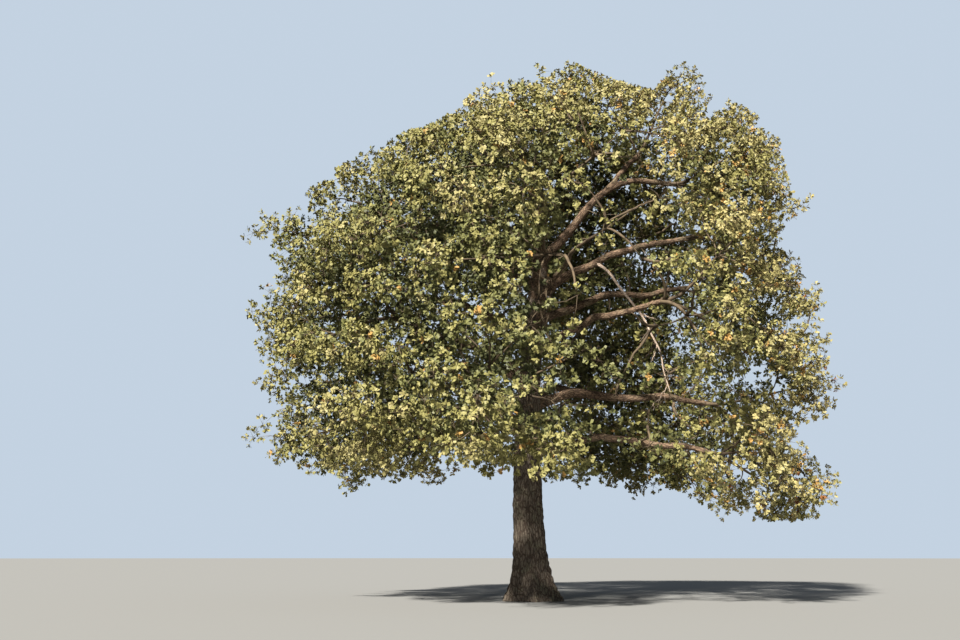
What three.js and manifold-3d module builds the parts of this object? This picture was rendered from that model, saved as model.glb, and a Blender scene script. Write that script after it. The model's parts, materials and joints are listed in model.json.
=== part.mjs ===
// A tall old oak at the edge of a field, in leaf at the start of autumn. A short-forked trunk with a root
// flare carries long crooked boughs. Each bough ends in two or three masses of foliage. A mass is one stem
// with twigs that fork off it, and blades that each stand for a spray of leaves. The crown reaches further
// over the field, on the +X side, than on the side that faces the wood.
// Sizes are in millimetres, angles in degrees. +Z is up, and the origin is the middle of the flat cut under
// the trunk. An azimuth of 0 points along +X and 90 along +Y; a rise of 90 points straight up.
import * as THREE from "three";
import { mergeVertices } from "three/addons/utils/BufferGeometryUtils.js";
import Module from "manifold-3d";

const wasm = await Module();
wasm.setup();

// Trunk
const TRUNK_HEIGHT = 12600; // ground to fork
const TRUNK_LEAN = 420; // how far the fork stands towards +X
const TRUNK_BOW = 260; // how far the middle of the trunk bows towards -X
const TRUNK_BUTT_RADIUS = 700;
const TRUNK_FORK_RADIUS = 330;
const FLARE_RADIUS = 420; // added to the radius at the ground
const FLARE_HEIGHT = 650; // the flare shrinks to a third over this height
const BUTTRESS_COUNT = 6;
const BUTTRESS_DEPTH = 0.16; // share of the radius, at the ground
const TRUNK_SIDES = 18;
const TRUNK_STEPS = 11;

// Boughs
const BOUGH_SIDES = 6;
const BOUGH_STEPS = 8;
const TIP_RADIUS = 95;
const KINK = 17; // the most a bough turns from one step to the next, apart from its own curve
const FIT_GAP = 0.3; // clearance left where one piece grows from another

// Masses of foliage
const MASS_FLATTEN = 0.86; // height of a mass over its width
const MASS_SPREAD = 52; // angle between a bough's end and the way to each of its masses
const MASS_OFFSET = 0.95; // distance from the bough's end to a mass's middle, over the reach
const SHARING_ROUNDS = 24; // masses push one another apart this many times
const SHARING_ROOM = 1.5; // masses closer than this many times their mean reach push
const SHARING_PUSH = 0.2;
const HEADING_PULL = 0.1; // pulls each mass back to its bough's heading, as a share of its distance
const CROWN_BASE = 2900; // no twig or leaf hangs lower
const CELL_GAP = 45; // what twigs keep clear of the border with the next mass
const STEM_RADIUS = 42;
const STEM_STEPS = 4;
const TWIGS_PER_MASS = 5; // besides the stem
const TWIG_RADIUS = 34;
const TWIG_ENDS = [0.52, 0.42, 0.32, 0.22]; // shares of the reach at which a twig may end, the first that is free
const GOLDEN_ANGLE = 137.508;
const FORK_BALANCE = 0.35; // how much a twig prefers a short way back to the bough
const BLADES_PER_TWIG = 3;
const BLADE_LENGTH = 2200;
const BLADE_WIDTH = 2200;
const BLADE_THICKNESS = 100;
const BLADE_ROOT = 4; // how far a blade's root is sunk behind the twig's own line
const BLADE_JOINT = 20; // faces a blade may add: one that adds more has cut through another
const BLADE_FAN = 80; // angle between a twig and the blades at its sides
const BLADE_SIZES = [1, 0.85, 0.7, 0.55, 0.42]; // a blade that doesn't fit is tried smaller
const BLADE_TURNS = [0, 30, -30, 60, -60, 90]; // and, at each size, turned about its own length
const LIMB_MARGIN = 60;

// Each bough grows from the trunk or from another bough, at a share of its length. It sets out at the first
// rise and ends at the second, and turns by "turn" on the way. Its end forks into the masses.
const BOUGHS = [
  { name: "right_low", from: "trunk", at: 0.52, azimuth: -16, turn: -6, rise: [24, -14], length: 7000,
    radius: 185, masses: 2, reach: 2900, roll: 0 },
  { name: "right_long", from: "trunk", at: 0.67, azimuth: 10, turn: 4, rise: [12, -10], length: 7300,
    radius: 210, masses: 2, reach: 3000, roll: 20 },
  { name: "front_right", from: "trunk", at: 0.8, azimuth: -46, turn: 6, rise: [20, -12], length: 6500,
    radius: 165, masses: 3, reach: 3000, roll: 90 },
  { name: "right_mid", from: "trunk", at: 0.88, azimuth: 24, turn: -8, rise: [26, 6], length: 7200,
    radius: 180, masses: 2, reach: 3000, roll: 60 },
  { name: "right_high", from: "trunk", at: 0.95, azimuth: -14, turn: -4, rise: [30, 6], length: 6400,
    radius: 190, masses: 2, reach: 2900, roll: 150 },
  { name: "leader_right", from: "trunk", at: 0.99, azimuth: -2, turn: 6, rise: [72, 0], length: 7700,
    radius: 215, masses: 2, reach: 2800, roll: 0 },
  { name: "leader_right_upper", from: "leader_right", at: 0.62, azimuth: 10, turn: -10, rise: [54, 44],
    length: 2100, radius: 120, masses: 1, reach: 2500, roll: 90 },
  { name: "leader_top", from: "trunk", at: 0.98, azimuth: 70, turn: -20, rise: [86, 82], length: 4900,
    radius: 190, masses: 3, reach: 2900, roll: 30 },
  { name: "left_high", from: "trunk", at: 0.96, azimuth: 184, turn: -4, rise: [41, 9], length: 5600,
    radius: 185, masses: 3, reach: 2800, roll: 90 },
  { name: "left_mid", from: "trunk", at: 0.84, azimuth: 192, turn: -4, rise: [28, 6], length: 6600,
    radius: 175, masses: 2, reach: 3000, roll: 30 },
  { name: "left_low", from: "trunk", at: 0.6, azimuth: 170, turn: 6, rise: [20, -14], length: 5900,
    radius: 185, masses: 2, reach: 3000, roll: 0 },
  { name: "front_left", from: "trunk", at: 0.73, azimuth: -140, turn: -4, rise: [26, 0], length: 6600,
    radius: 165, masses: 2, reach: 3000, roll: 30 },
  { name: "front_low", from: "trunk", at: 0.57, azimuth: -106, turn: -6, rise: [24, -12], length: 6500,
    radius: 170, masses: 2, reach: 3000, roll: 0 },
  { name: "front_mid", from: "trunk", at: 0.84, azimuth: -78, turn: -6, rise: [26, 4], length: 6200,
    radius: 165, masses: 2, reach: 3000, roll: 20 },
  { name: "front_high", from: "trunk", at: 0.93, azimuth: -92, turn: 8, rise: [46, 14], length: 5500,
    radius: 165, masses: 2, reach: 2900, roll: 0 },
  { name: "back_right", from: "trunk", at: 0.68, azimuth: 54, turn: 6, rise: [24, -8], length: 7000,
    radius: 180, masses: 3, reach: 3000, roll: 30 },
  { name: "back_left", from: "trunk", at: 0.72, azimuth: 126, turn: 8, rise: [26, -4], length: 7000,
    radius: 175, masses: 3, reach: 3000, roll: 30 },
  { name: "back_high", from: "trunk", at: 0.93, azimuth: 88, turn: 0, rise: [52, 18], length: 6000,
    radius: 170, masses: 2, reach: 3000, roll: 0 },
];

// A dead bough, bare and pale, hangs from the middle of a live one.
const DEAD_BOUGH = { name: "dead_bough", from: "right_high", at: 0.42, azimuth: -40, turn: 30, rise: [-42, -78],
  length: 6200, radius: 62 };
const DEAD_TIP_RADIUS = 20;
const DEAD_TWIGS = 5;
const DEAD_TWIG_LENGTH = 1300;

const BARK = new THREE.MeshStandardMaterial({ color: 0x6f6152, roughness: 0.95, metalness: 0 });
const BARE_WOOD = new THREE.MeshStandardMaterial({ color: 0x9a8f80, roughness: 0.85, metalness: 0 });
const LEAF_COLORS = [0x6f7440, 0x7c7a40, 0x5f6a3a, 0x8a8045, 0x68703f];
const FOLIAGE = LEAF_COLORS.map(
  (color) => new THREE.MeshStandardMaterial({ color, roughness: 0.7, metalness: 0, side: THREE.DoubleSide }),
);

const radians = THREE.MathUtils.degToRad;

// The dice: a repeatable number from 0 to 1 for each whole number.
function chance(seed) {
  const wave = Math.sin(seed * 12.9898) * 43758.5453;
  return wave - Math.floor(wave);
}

// The three directions of a limb's cross-section and heading, from its azimuth and rise.
function frameOf(azimuth, rise) {
  const a = radians(azimuth);
  const r = radians(rise);
  const heading = new THREE.Vector3(Math.cos(a) * Math.cos(r), Math.sin(a) * Math.cos(r), Math.sin(r));
  const side = new THREE.Vector3(-Math.sin(a), Math.cos(a), 0);
  return { heading, side, lift: heading.clone().cross(side) };
}

// The trunk's stations, from the ground to the fork. Its rings are level, so that the cut at its foot is.
function trunkStations() {
  const stations = [];
  for (let i = 0; i <= TRUNK_STEPS; i += 1) {
    const share = (i / TRUNK_STEPS) ** 1.35; // closer together in the flare
    const z = share * TRUNK_HEIGHT;
    const bow = Math.sin(share * Math.PI) * TRUNK_BOW;
    const taper = TRUNK_BUTT_RADIUS + (TRUNK_FORK_RADIUS - TRUNK_BUTT_RADIUS) * share ** 0.8;
    stations.push({
      centre: new THREE.Vector3(TRUNK_LEAN * share ** 1.5 - bow, 0.4 * bow, z),
      heading: new THREE.Vector3(0, 0, 1),
      side: new THREE.Vector3(1, 0, 0),
      lift: new THREE.Vector3(0, 1, 0),
      radius: taper + FLARE_RADIUS * Math.exp(-z / FLARE_HEIGHT),
      buttress: BUTTRESS_DEPTH * Math.exp(-z / (2 * FLARE_HEIGHT)),
    });
  }
  return stations;
}

// A bough's stations: it starts on its parent's own line and bends a little at every step, as oak does.
function boughStations(bough, number, start, tipRadius) {
  const stations = [];
  const point = start.clone();
  for (let i = 0; i <= BOUGH_STEPS; i += 1) {
    const share = i / BOUGH_STEPS;
    const sway = i === 0 ? 0 : KINK * (chance(number * 40 + i) * 2 - 1);
    const bob = i === 0 ? 0 : KINK * (chance(number * 40 + i + 20) * 2 - 1);
    const azimuth = bough.azimuth + bough.turn * share + sway;
    const rise = bough.rise[0] + (bough.rise[1] - bough.rise[0]) * share ** 0.8 + bob * 0.7;
    const frame = frameOf(azimuth, rise);
    const radius = bough.radius + (tipRadius - bough.radius) * share;
    stations.push({ centre: point.clone(), ...frame, azimuth, rise, radius, buttress: 0 });
    point.addScaledVector(frame.heading, bough.length / BOUGH_STEPS);
  }
  return stations;
}

// The point at a share of the way along a limb.
function pointAlong(stations, share) {
  const place = share * (stations.length - 1);
  const i = Math.min(Math.floor(place), stations.length - 2);
  return stations[i].centre.clone().lerp(stations[i + 1].centre, place - i);
}

// A closed solid through the stations: a cylinder whose rings are carried to them.
function limbSolid(stations, sides, grow = 0) {
  const steps = stations.length - 1;
  const geometry = new THREE.CylinderGeometry(1, 1, 1, sides, steps);
  const position = geometry.getAttribute("position");
  for (let v = 0; v < position.count; v += 1) {
    const across = new THREE.Vector2(position.getX(v), position.getZ(v));
    const ring = Math.round((position.getY(v) + 0.5) * steps);
    const at = stations[ring];
    const angle = Math.atan2(across.y, across.x);
    const lobe = 1 + at.buttress * Math.cos(angle * BUTTRESS_COUNT);
    const reach = across.length() * (at.radius * lobe + grow);
    const past = ring === 0 ? 0 : ring === steps ? grow : 0;
    const point = at.centre.clone().addScaledVector(at.heading, past);
    point.addScaledVector(at.lift, Math.cos(angle) * reach).addScaledVector(at.side, Math.sin(angle) * reach);
    position.setXYZ(v, point.x, point.y, point.z);
  }
  return solidOf(geometry);
}

// A closed three.js geometry as a solid that can be joined and cut.
function solidOf(geometry) {
  geometry.deleteAttribute("normal");
  geometry.deleteAttribute("uv");
  const merged = mergeVertices(geometry, 0.01);
  const mesh = new wasm.Mesh({
    numProp: 3,
    vertProperties: merged.getAttribute("position").array,
    triVerts: new Uint32Array(merged.index.array),
  });
  const solid = new wasm.Manifold(mesh);
  return solid.volume() > 0 ? solid : new wasm.Manifold(turnedOut(mesh));
}

// The same mesh with its faces turned to the outside.
function turnedOut(mesh) {
  const triVerts = mesh.triVerts.slice();
  for (let i = 0; i < triVerts.length; i += 3) [triVerts[i], triVerts[i + 1]] = [triVerts[i + 1], triVerts[i]];
  return new wasm.Mesh({ numProp: 3, vertProperties: mesh.vertProperties, triVerts });
}

// The largest connected body of a solid: loose scraps and sealed hollows go.
function mainBody(solid) {
  const bodies = solid.decompose();
  return bodies.reduce((best, body) => (body.volume() > best.volume() ? body : best));
}

function meshOf(name, solid, material) {
  const { vertProperties, triVerts } = solid.getMesh();
  const geometry = new THREE.BufferGeometry();
  geometry.setAttribute("position", new THREE.BufferAttribute(Float32Array.from(vertProperties), 3));
  geometry.setIndex(new THREE.BufferAttribute(Uint32Array.from(triVerts), 1));
  geometry.computeVertexNormals();
  const mesh = new THREE.Mesh(geometry, material);
  mesh.name = name;
  return mesh;
}

// The shortest distance from a point to the straight line between two others.
function distanceToLine(point, from, to) {
  const nearest = new THREE.Line3(from, to).closestPointToPoint(point, true, new THREE.Vector3());
  return nearest.distanceTo(point);
}

// The stem of a mass leaves the bough's end squarely and swings over to pass through the mass's middle.
function stemStations(mass) {
  const { tip, slot, heading, middle } = mass;
  const start = tip.centre.clone().add(slot).addScaledVector(heading, FIT_GAP);
  const out = middle.clone().sub(tip.centre);
  const end = middle.clone().addScaledVector(out, 0.3);
  const curve = new THREE.CubicBezierCurve3(
    start,
    start.clone().addScaledVector(heading, mass.reach * 0.3),
    start.clone().addScaledVector(out, 0.6),
    end,
  );
  const stations = [];
  for (let i = 0; i <= STEM_STEPS; i += 1) {
    const share = i / STEM_STEPS;
    const along = i === 0 ? heading : curve.getTangent(share);
    const azimuth = THREE.MathUtils.radToDeg(Math.atan2(along.y, along.x));
    const rise = THREE.MathUtils.radToDeg(Math.asin(along.z));
    const radius = STEM_RADIUS * (1 - 0.45 * share);
    stations.push({ centre: curve.getPoint(share), ...frameOf(azimuth, rise), radius, buttress: 0 });
  }
  return stations;
}

// The masses that a bough's end forks into, evenly round its heading.
function massesOf(bough, stations) {
  const tip = stations[stations.length - 1];
  const masses = [];
  for (let k = 0; k < bough.masses; k += 1) {
    const turn = radians(bough.roll + (k * 360) / bough.masses);
    const sideways = tip.side.clone().multiplyScalar(Math.cos(turn)).addScaledVector(tip.lift, Math.sin(turn));
    const way = tip.heading.clone().multiplyScalar(Math.cos(radians(MASS_SPREAD)));
    way.addScaledVector(sideways, Math.sin(radians(MASS_SPREAD)));
    masses.push({
      name: `foliage_${bough.name}_${k + 1}`,
      tip,
      heading: tip.heading,
      slot: sideways.clone().multiplyScalar(TIP_RADIUS * 0.55),
      middle: tip.centre.clone().addScaledVector(way, bough.reach * MASS_OFFSET),
      reach: bough.reach,
    });
  }
  return masses;
}

// Masses that stand too close push one another round their boughs' ends, until they share the crown evenly.
function shareOut(masses) {
  for (let round = 0; round < SHARING_ROUNDS; round += 1) {
    const pushed = masses.map((mass) => {
      const place = mass.middle.clone().addScaledVector(mass.heading, HEADING_PULL * mass.reach);
      masses.forEach((other) => {
        const away = mass.middle.clone().sub(other.middle);
        const short = (SHARING_ROOM * (mass.reach + other.reach)) / 2 - away.length();
        if (other !== mass && short > 0) place.addScaledVector(away.normalize(), SHARING_PUSH * short);
      });
      return place;
    });
    masses.forEach((mass, i) => {
      const way = pushed[i].sub(mass.tip.centre).normalize();
      mass.middle = mass.tip.centre.clone().addScaledVector(way, mass.reach * MASS_OFFSET);
    });
  }
}

// A mass's own space: an ellipsoid, cut off half way to the middle of every other mass.
function insideSpace(point, mass, masses, gap) {
  if (point.z < CROWN_BASE) return false;
  const from = point.clone().sub(mass.middle);
  const level = Math.hypot(from.x, from.y) / mass.reach;
  const upright = from.z / (mass.reach * MASS_FLATTEN);
  if (Math.hypot(level, upright) > 1) return false;
  return masses.every((other) => {
    if (other === mass) return true;
    const between = other.middle.clone().sub(mass.middle);
    return from.dot(between) / between.length() < between.length() / 2 - gap;
  });
}

// True where every point keeps the margin to all the limbs but the mass's own stem.
function clearOfLimbs(points, margin, mass, capsules) {
  return points.every((point) =>
    capsules.every(
      (part) => part.mass === mass || distanceToLine(point, part.from, part.to) > part.radius + margin,
    ),
  );
}

// The k-th of a number of directions spread evenly on all sides, as seeds are in a flower head.
function evenWay(k, count, mass) {
  const upright = 1 - (2 * k + 1) / count;
  const level = Math.sqrt(1 - upright ** 2);
  const turn = radians(GOLDEN_ANGLE * (k + mass.seed * 7));
  return new THREE.Vector3(Math.cos(turn) * level, Math.sin(turn) * level, upright * MASS_FLATTEN);
}

// Joins each twig's end to the fork that costs least: a short twig, not far round from the bough.
function growTwigs(mass, masses, capsules) {
  const forks = mass.stem.slice(1).map((station, i) => ({ point: station.centre, way: i * mass.reach * 0.3 }));
  const ends = [];
  for (let k = 0; k < TWIGS_PER_MASS; k += 1) {
    const way = evenWay(k, TWIGS_PER_MASS, mass);
    const free = TWIG_ENDS.map((share) => mass.middle.clone().addScaledVector(way, share * mass.reach)).find(
      (point) =>
        insideSpace(point, mass, masses, CELL_GAP) && clearOfLimbs([point], LIMB_MARGIN, mass, capsules),
    );
    if (free) ends.push(free);
  }
  const twigs = [];
  while (ends.length) {
    let best = { cost: Infinity };
    ends.forEach((end, e) => {
      forks.forEach((fork) => {
        const cost = end.distanceTo(fork.point) + FORK_BALANCE * fork.way;
        if (cost < best.cost) best = { cost, e, fork };
      });
    });
    const [end] = ends.splice(best.e, 1);
    const twig = { from: best.fork.point, to: end };
    const samples = [0.25, 0.5, 0.75, 1].map((share) => twig.from.clone().lerp(end, share));
    if (!clearOfLimbs(samples, LIMB_MARGIN, mass, capsules)) continue;
    if (!samples.every((sample) => insideSpace(sample, mass, masses, CELL_GAP))) continue;
    twigs.push(twig);
    forks.push({ point: end, way: best.fork.way + twig.from.distanceTo(end) });
  }
  return twigs;
}

// The solid of one twig: a three-sided spike from its fork to its end.
function twigSolid(twig, radius) {
  const along = twig.to.clone().sub(twig.from);
  const geometry = new THREE.CylinderGeometry(radius * 0.6, radius, along.length(), 3, 1);
  const turn = new THREE.Quaternion().setFromUnitVectors(new THREE.Vector3(0, 1, 0), along.clone().normalize());
  geometry.applyQuaternion(turn);
  const half = twig.from.clone().add(twig.to).multiplyScalar(0.5);
  geometry.translate(half.x, half.y, half.z);
  return solidOf(geometry);
}

// The corners of a blade: root, tip, two sides, upper face and lower face.
function bladeCorners(root, way, face, size) {
  const across = face.clone().cross(way);
  const at = (along, aside, over) =>
    root.clone().addScaledVector(way, along * size).addScaledVector(across, aside * size)
      .addScaledVector(face, over * size);
  return [
    at(BLADE_LENGTH, 0, 0),
    at(0, 0, 0),
    at(BLADE_LENGTH * 0.58, BLADE_WIDTH / 2, 0),
    at(BLADE_LENGTH * 0.58, -BLADE_WIDTH / 2, 0),
    at(BLADE_LENGTH * 0.5, 0, BLADE_THICKNESS / 2),
    at(BLADE_LENGTH * 0.5, 0, -BLADE_THICKNESS / 2),
  ];
}

// An eight-faced blade that has those corners.
function bladeSolid(corners) {
  const geometry = new THREE.OctahedronGeometry(1, 0);
  const position = geometry.getAttribute("position");
  const axes = ["x", "y", "z"];
  for (let v = 0; v < position.count; v += 1) {
    const vertex = new THREE.Vector3().fromBufferAttribute(position, v);
    const axis = axes.findIndex((name) => Math.abs(vertex[name]) > 0.5);
    const corner = corners[axis * 2 + (vertex[axes[axis]] > 0 ? 0 : 1)];
    position.setXYZ(v, corner.x, corner.y, corner.z);
  }
  return solidOf(geometry);
}

// Adds the blades of one twig to a solid: one runs on from its end, the others stand out at its sides. Each is
// tried smaller, and then left out, where it would leave the mass's space, touch a limb or cut another blade.
function withBlades(solid, twig, number, mass, masses, capsules) {
  const way = twig.to.clone().sub(twig.from).normalize();
  const outward = twig.to.clone().sub(mass.middle).normalize();
  let left = solid;
  const count = number === 0 ? 1 : BLADES_PER_TWIG; // number 0 is the end of the stem
  for (let b = 0; b < count; b += 1) {
    const seed = (mass.seed * 100 + number) * 10 + b;
    const face = new THREE.Vector3(0, 0, 0.9).addScaledVector(outward, 0.7);
    face.add(new THREE.Vector3(chance(seed) - 0.5, chance(seed + 3) - 0.5, chance(seed + 6) - 0.5));
    const aside = face.clone().cross(way).normalize();
    const fan = b === 0 ? 0 : radians(BLADE_FAN) * (b === 1 ? 1 : -1);
    const along = way.clone().multiplyScalar(Math.cos(fan)).addScaledVector(aside, Math.sin(fan));
    along.addScaledVector(outward, 0.45).normalize();
    face.addScaledVector(along, -face.dot(along)).normalize();
    const fork = twig.from.clone().lerp(twig.to, b === 0 ? 0.94 : 0.9 - 0.22 * b);
    const root = fork.addScaledVector(along, -BLADE_ROOT);
    const tries = BLADE_SIZES.flatMap((size) => BLADE_TURNS.map((turn) => ({ size, turn })));
    for (const { size, turn } of tries) {
      const turned = face.clone().applyAxisAngle(along, radians(turn));
      const corners = bladeCorners(root, along, turned, size);
      const samples = [0.2, 0.4, 0.6, 0.8].map((share) => corners[1].clone().lerp(corners[0], share));
      if (!corners.every((corner) => insideSpace(corner, mass, masses, FIT_GAP * 10))) continue;
      if (!clearOfLimbs([...samples, ...corners], LIMB_MARGIN, mass, capsules)) continue;
      const joined = left.add(bladeSolid(corners));
      if (joined.numTri() > left.numTri() + BLADE_JOINT) continue;
      left = joined;
      break;
    }
  }
  return left;
}

// One mass: stem, twigs and blades, fused into a single body.
function massSolid(mass, masses, capsules) {
  const twigs = growTwigs(mass, masses, capsules);
  const [near, far] = mass.stem.slice(-2).map((station) => station.centre);
  const wood = twigs.reduce((left, twig) => left.add(twigSolid(twig, TWIG_RADIUS)), limbSolid(mass.stem, 3));
  const leafy = [{ from: near, to: far }, ...twigs].reduce(
    (left, twig, number) => withBlades(left, twig, number, mass, masses, capsules),
    wood,
  );
  return mainBody(leafy);
}

// The dead bough, with a few bare twigs on its outer half.
function deadSolid(stations) {
  let solid = limbSolid(stations, BOUGH_SIDES);
  for (let k = 0; k < DEAD_TWIGS; k += 1) {
    const share = 0.45 + (0.5 * k) / (DEAD_TWIGS - 1);
    const near = stations[Math.round(share * BOUGH_STEPS)];
    const { heading } = frameOf(near.azimuth + k * 137, near.rise + 35);
    const from = pointAlong(stations, share);
    const length = DEAD_TWIG_LENGTH * (0.6 + 0.4 * chance(k + 7));
    solid = solid.add(twigSolid({ from, to: from.clone().addScaledVector(heading, length) }, DEAD_TIP_RADIUS));
  }
  return solid;
}

// The lines of a limb, with their radii, for keeping foliage off it.
function capsulesOf(stations, mass) {
  return stations.slice(1).map((station, i) => ({
    from: stations[i].centre,
    to: station.centre,
    radius: stations[i].radius * (1 + stations[i].buttress),
    mass,
  }));
}

const tree = new THREE.Group();
const limbs = new Map([["trunk", trunkStations()]]);
[...BOUGHS, DEAD_BOUGH].forEach((bough, number) => {
  const start = pointAlong(limbs.get(bough.from), bough.at);
  const tipRadius = bough === DEAD_BOUGH ? DEAD_TIP_RADIUS : TIP_RADIUS;
  limbs.set(bough.name, boughStations(bough, number + 1, start, tipRadius));
});

const masses = BOUGHS.flatMap((bough) => massesOf(bough, limbs.get(bough.name)));
shareOut(masses);
masses.forEach((mass, number) => {
  mass.seed = number + 1;
  mass.stem = stemStations(mass);
});
const capsules = [
  ...[...limbs.values()].flatMap((stations) => capsulesOf(stations, null)),
  ...masses.flatMap((mass) => capsulesOf(mass.stem, mass)),
];

// Each limb is cut back to the surface of the limbs that are there before it.
const fitted = [];
limbs.forEach((stations, name) => {
  const dead = name === DEAD_BOUGH.name;
  const sides = name === "trunk" ? TRUNK_SIDES : BOUGH_SIDES;
  const whole = dead ? deadSolid(stations) : limbSolid(stations, sides);
  const solid = mainBody(fitted.reduce((left, before) => left.subtract(before), whole));
  fitted.push(limbSolid(stations, sides, FIT_GAP));
  const label = name === "trunk" || dead ? name : `bough_${name}`;
  tree.add(meshOf(label, solid, dead ? BARE_WOOD : BARK));
});
masses.forEach((mass, number) => {
  tree.add(meshOf(mass.name, massSolid(mass, masses, capsules), FOLIAGE[number % FOLIAGE.length]));
});

export default tree;
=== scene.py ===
# %% [markdown]
# # A tall old oak in early autumn
#
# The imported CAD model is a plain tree: a trunk, eighteen boughs, one dead bough and forty masses of
# foliage with a few large blades each. This lesson dresses it. The trunk and the boughs get bark with real
# relief, and each mass is grown again by the rule that made it, down to thin twigs and single leaves.
# Everything is in metres, in the frame of the CAD model: +Z is up, and the origin is at the foot.

import json
import math
from collections import namedtuple

import bpy
import numpy as np
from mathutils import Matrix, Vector

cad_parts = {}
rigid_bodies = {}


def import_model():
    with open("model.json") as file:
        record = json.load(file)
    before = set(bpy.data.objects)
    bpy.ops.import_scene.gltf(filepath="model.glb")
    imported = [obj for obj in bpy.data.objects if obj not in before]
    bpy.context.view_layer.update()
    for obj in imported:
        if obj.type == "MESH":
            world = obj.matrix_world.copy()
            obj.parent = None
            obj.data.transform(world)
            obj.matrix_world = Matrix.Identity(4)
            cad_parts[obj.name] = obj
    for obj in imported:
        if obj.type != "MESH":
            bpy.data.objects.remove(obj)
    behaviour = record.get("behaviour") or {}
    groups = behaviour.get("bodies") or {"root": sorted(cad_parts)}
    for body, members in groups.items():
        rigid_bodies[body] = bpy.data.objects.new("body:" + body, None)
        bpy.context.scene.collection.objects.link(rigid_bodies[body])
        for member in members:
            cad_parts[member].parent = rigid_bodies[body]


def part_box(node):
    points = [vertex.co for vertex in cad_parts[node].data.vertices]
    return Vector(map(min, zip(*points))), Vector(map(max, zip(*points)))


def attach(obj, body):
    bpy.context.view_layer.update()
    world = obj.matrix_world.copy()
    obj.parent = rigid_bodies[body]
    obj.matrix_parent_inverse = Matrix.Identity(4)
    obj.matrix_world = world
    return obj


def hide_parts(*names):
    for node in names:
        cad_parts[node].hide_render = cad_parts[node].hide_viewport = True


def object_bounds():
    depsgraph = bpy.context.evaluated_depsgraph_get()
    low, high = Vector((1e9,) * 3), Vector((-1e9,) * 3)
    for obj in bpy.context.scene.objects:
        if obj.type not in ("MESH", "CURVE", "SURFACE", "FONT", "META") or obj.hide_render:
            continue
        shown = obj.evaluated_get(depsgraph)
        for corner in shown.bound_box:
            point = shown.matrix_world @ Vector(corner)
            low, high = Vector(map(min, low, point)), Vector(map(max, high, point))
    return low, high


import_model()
cad_low, cad_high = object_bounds()
print("CAD box:", [round(v, 2) for v in cad_low], [round(v, 2) for v in cad_high])

# %% [markdown]
# ## The camera
#
# The picture was taken from the ground, about 36 m in front of the tree, with the camera tilted up. The
# focal length is given in pixels of a 960 pixel wide picture, which the sensor's width turns into
# millimetres. The horizon lies low in the picture, and the tilt follows from it.

# %% Camera
PICTURE_WIDTH = 960
FOCAL_PIXELS = 933
SENSOR_WIDTH = 36.0
CAMERA_TILT = 14.196

camera = bpy.data.objects.new("camera", bpy.data.cameras.new("camera"))
bpy.context.scene.collection.objects.link(camera)
bpy.context.scene.camera = camera
camera.data.sensor_width = SENSOR_WIDTH
camera.data.lens = SENSOR_WIDTH * FOCAL_PIXELS / PICTURE_WIDTH
camera.data.clip_end = 2000
camera.location = (-1.96, -36, 1.6)
camera.rotation_euler = (math.radians(90 + CAMERA_TILT), 0, 0)
print("lens:", round(camera.data.lens, 2), "mm")

# %% [markdown]
# ## The dice, and directions
#
# A tree that is grown by a rule needs chance, and the same chance at each run. The CAD model takes its
# numbers from a sine wave, and the limbs have to match, so the same wave is used here. A limb's direction
# is given by an azimuth, from +X towards +Y, and a rise above the horizon.

# %% Dice and directions
def chance(seed):
    wave = math.sin(seed * 12.9898) * 43758.5453
    return wave - math.floor(wave)


def unit(v):
    return v / np.linalg.norm(v, axis=-1, keepdims=True)


def frame_of(azimuth, rise):
    """The heading of a limb and the two directions across it."""
    a, r = math.radians(azimuth), math.radians(rise)
    heading = np.array([math.cos(a) * math.cos(r), math.sin(a) * math.cos(r), math.sin(r)])
    side = np.array([-math.sin(a), math.cos(a), 0.0])
    return heading, side, np.cross(heading, side)


# %% [markdown]
# ## The trunk's line
#
# The trunk leans a little to +X and bows a little to -X on the way. Its radius shrinks from the butt to the
# fork, and a root flare is added near the ground. These are the values of the CAD model, in metres.

# %% The trunk's line
TRUNK_HEIGHT = 12.6
TRUNK_LEAN = 0.42
TRUNK_BOW = 0.26
TRUNK_BUTT_RADIUS = 0.70
TRUNK_FORK_RADIUS = 0.33
FLARE_RADIUS = 0.42
FLARE_HEIGHT = 0.65
BUTTRESS_COUNT = 6
BUTTRESS_DEPTH = 0.16
TRUNK_STEPS = 11
TRUNK_STEP_POWER = 1.35


def trunk_at(share):
    """The middle and the radius of the trunk at a share of its height."""
    z = share * TRUNK_HEIGHT
    bow = math.sin(share * math.pi) * TRUNK_BOW
    middle = np.array([TRUNK_LEAN * max(share, 0) ** 1.5 - bow, 0.4 * bow, z])
    taper = TRUNK_BUTT_RADIUS + (TRUNK_FORK_RADIUS - TRUNK_BUTT_RADIUS) * max(share, 0) ** 0.8
    return middle, taper + FLARE_RADIUS * math.exp(-z / FLARE_HEIGHT)


def trunk_line():
    """The trunk's points and radii. The points lie closer together near the ground."""
    found = [trunk_at((i / TRUNK_STEPS) ** TRUNK_STEP_POWER) for i in range(TRUNK_STEPS + 1)]
    points = np.array([middle for middle, _ in found])
    lobes = 1 + BUTTRESS_DEPTH * np.exp(-points[:, 2] / (2 * FLARE_HEIGHT))
    return {"points": points, "radii": np.array([radius for _, radius in found]) * lobes}


print("trunk: radius", [round(trunk_at(s)[1], 2) for s in (0, 0.1, 0.5, 1)], "m")

# %% [markdown]
# ## The boughs' lines
#
# Oak boughs are crooked: at each step the bough turns a little, up or down and to a side. Each row of the
# table says where a bough starts on its parent, its azimuth and how far it turns, its rise at both ends, its
# length and radius, and how many masses of foliage its end forks into, with their reach and roll.

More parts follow.
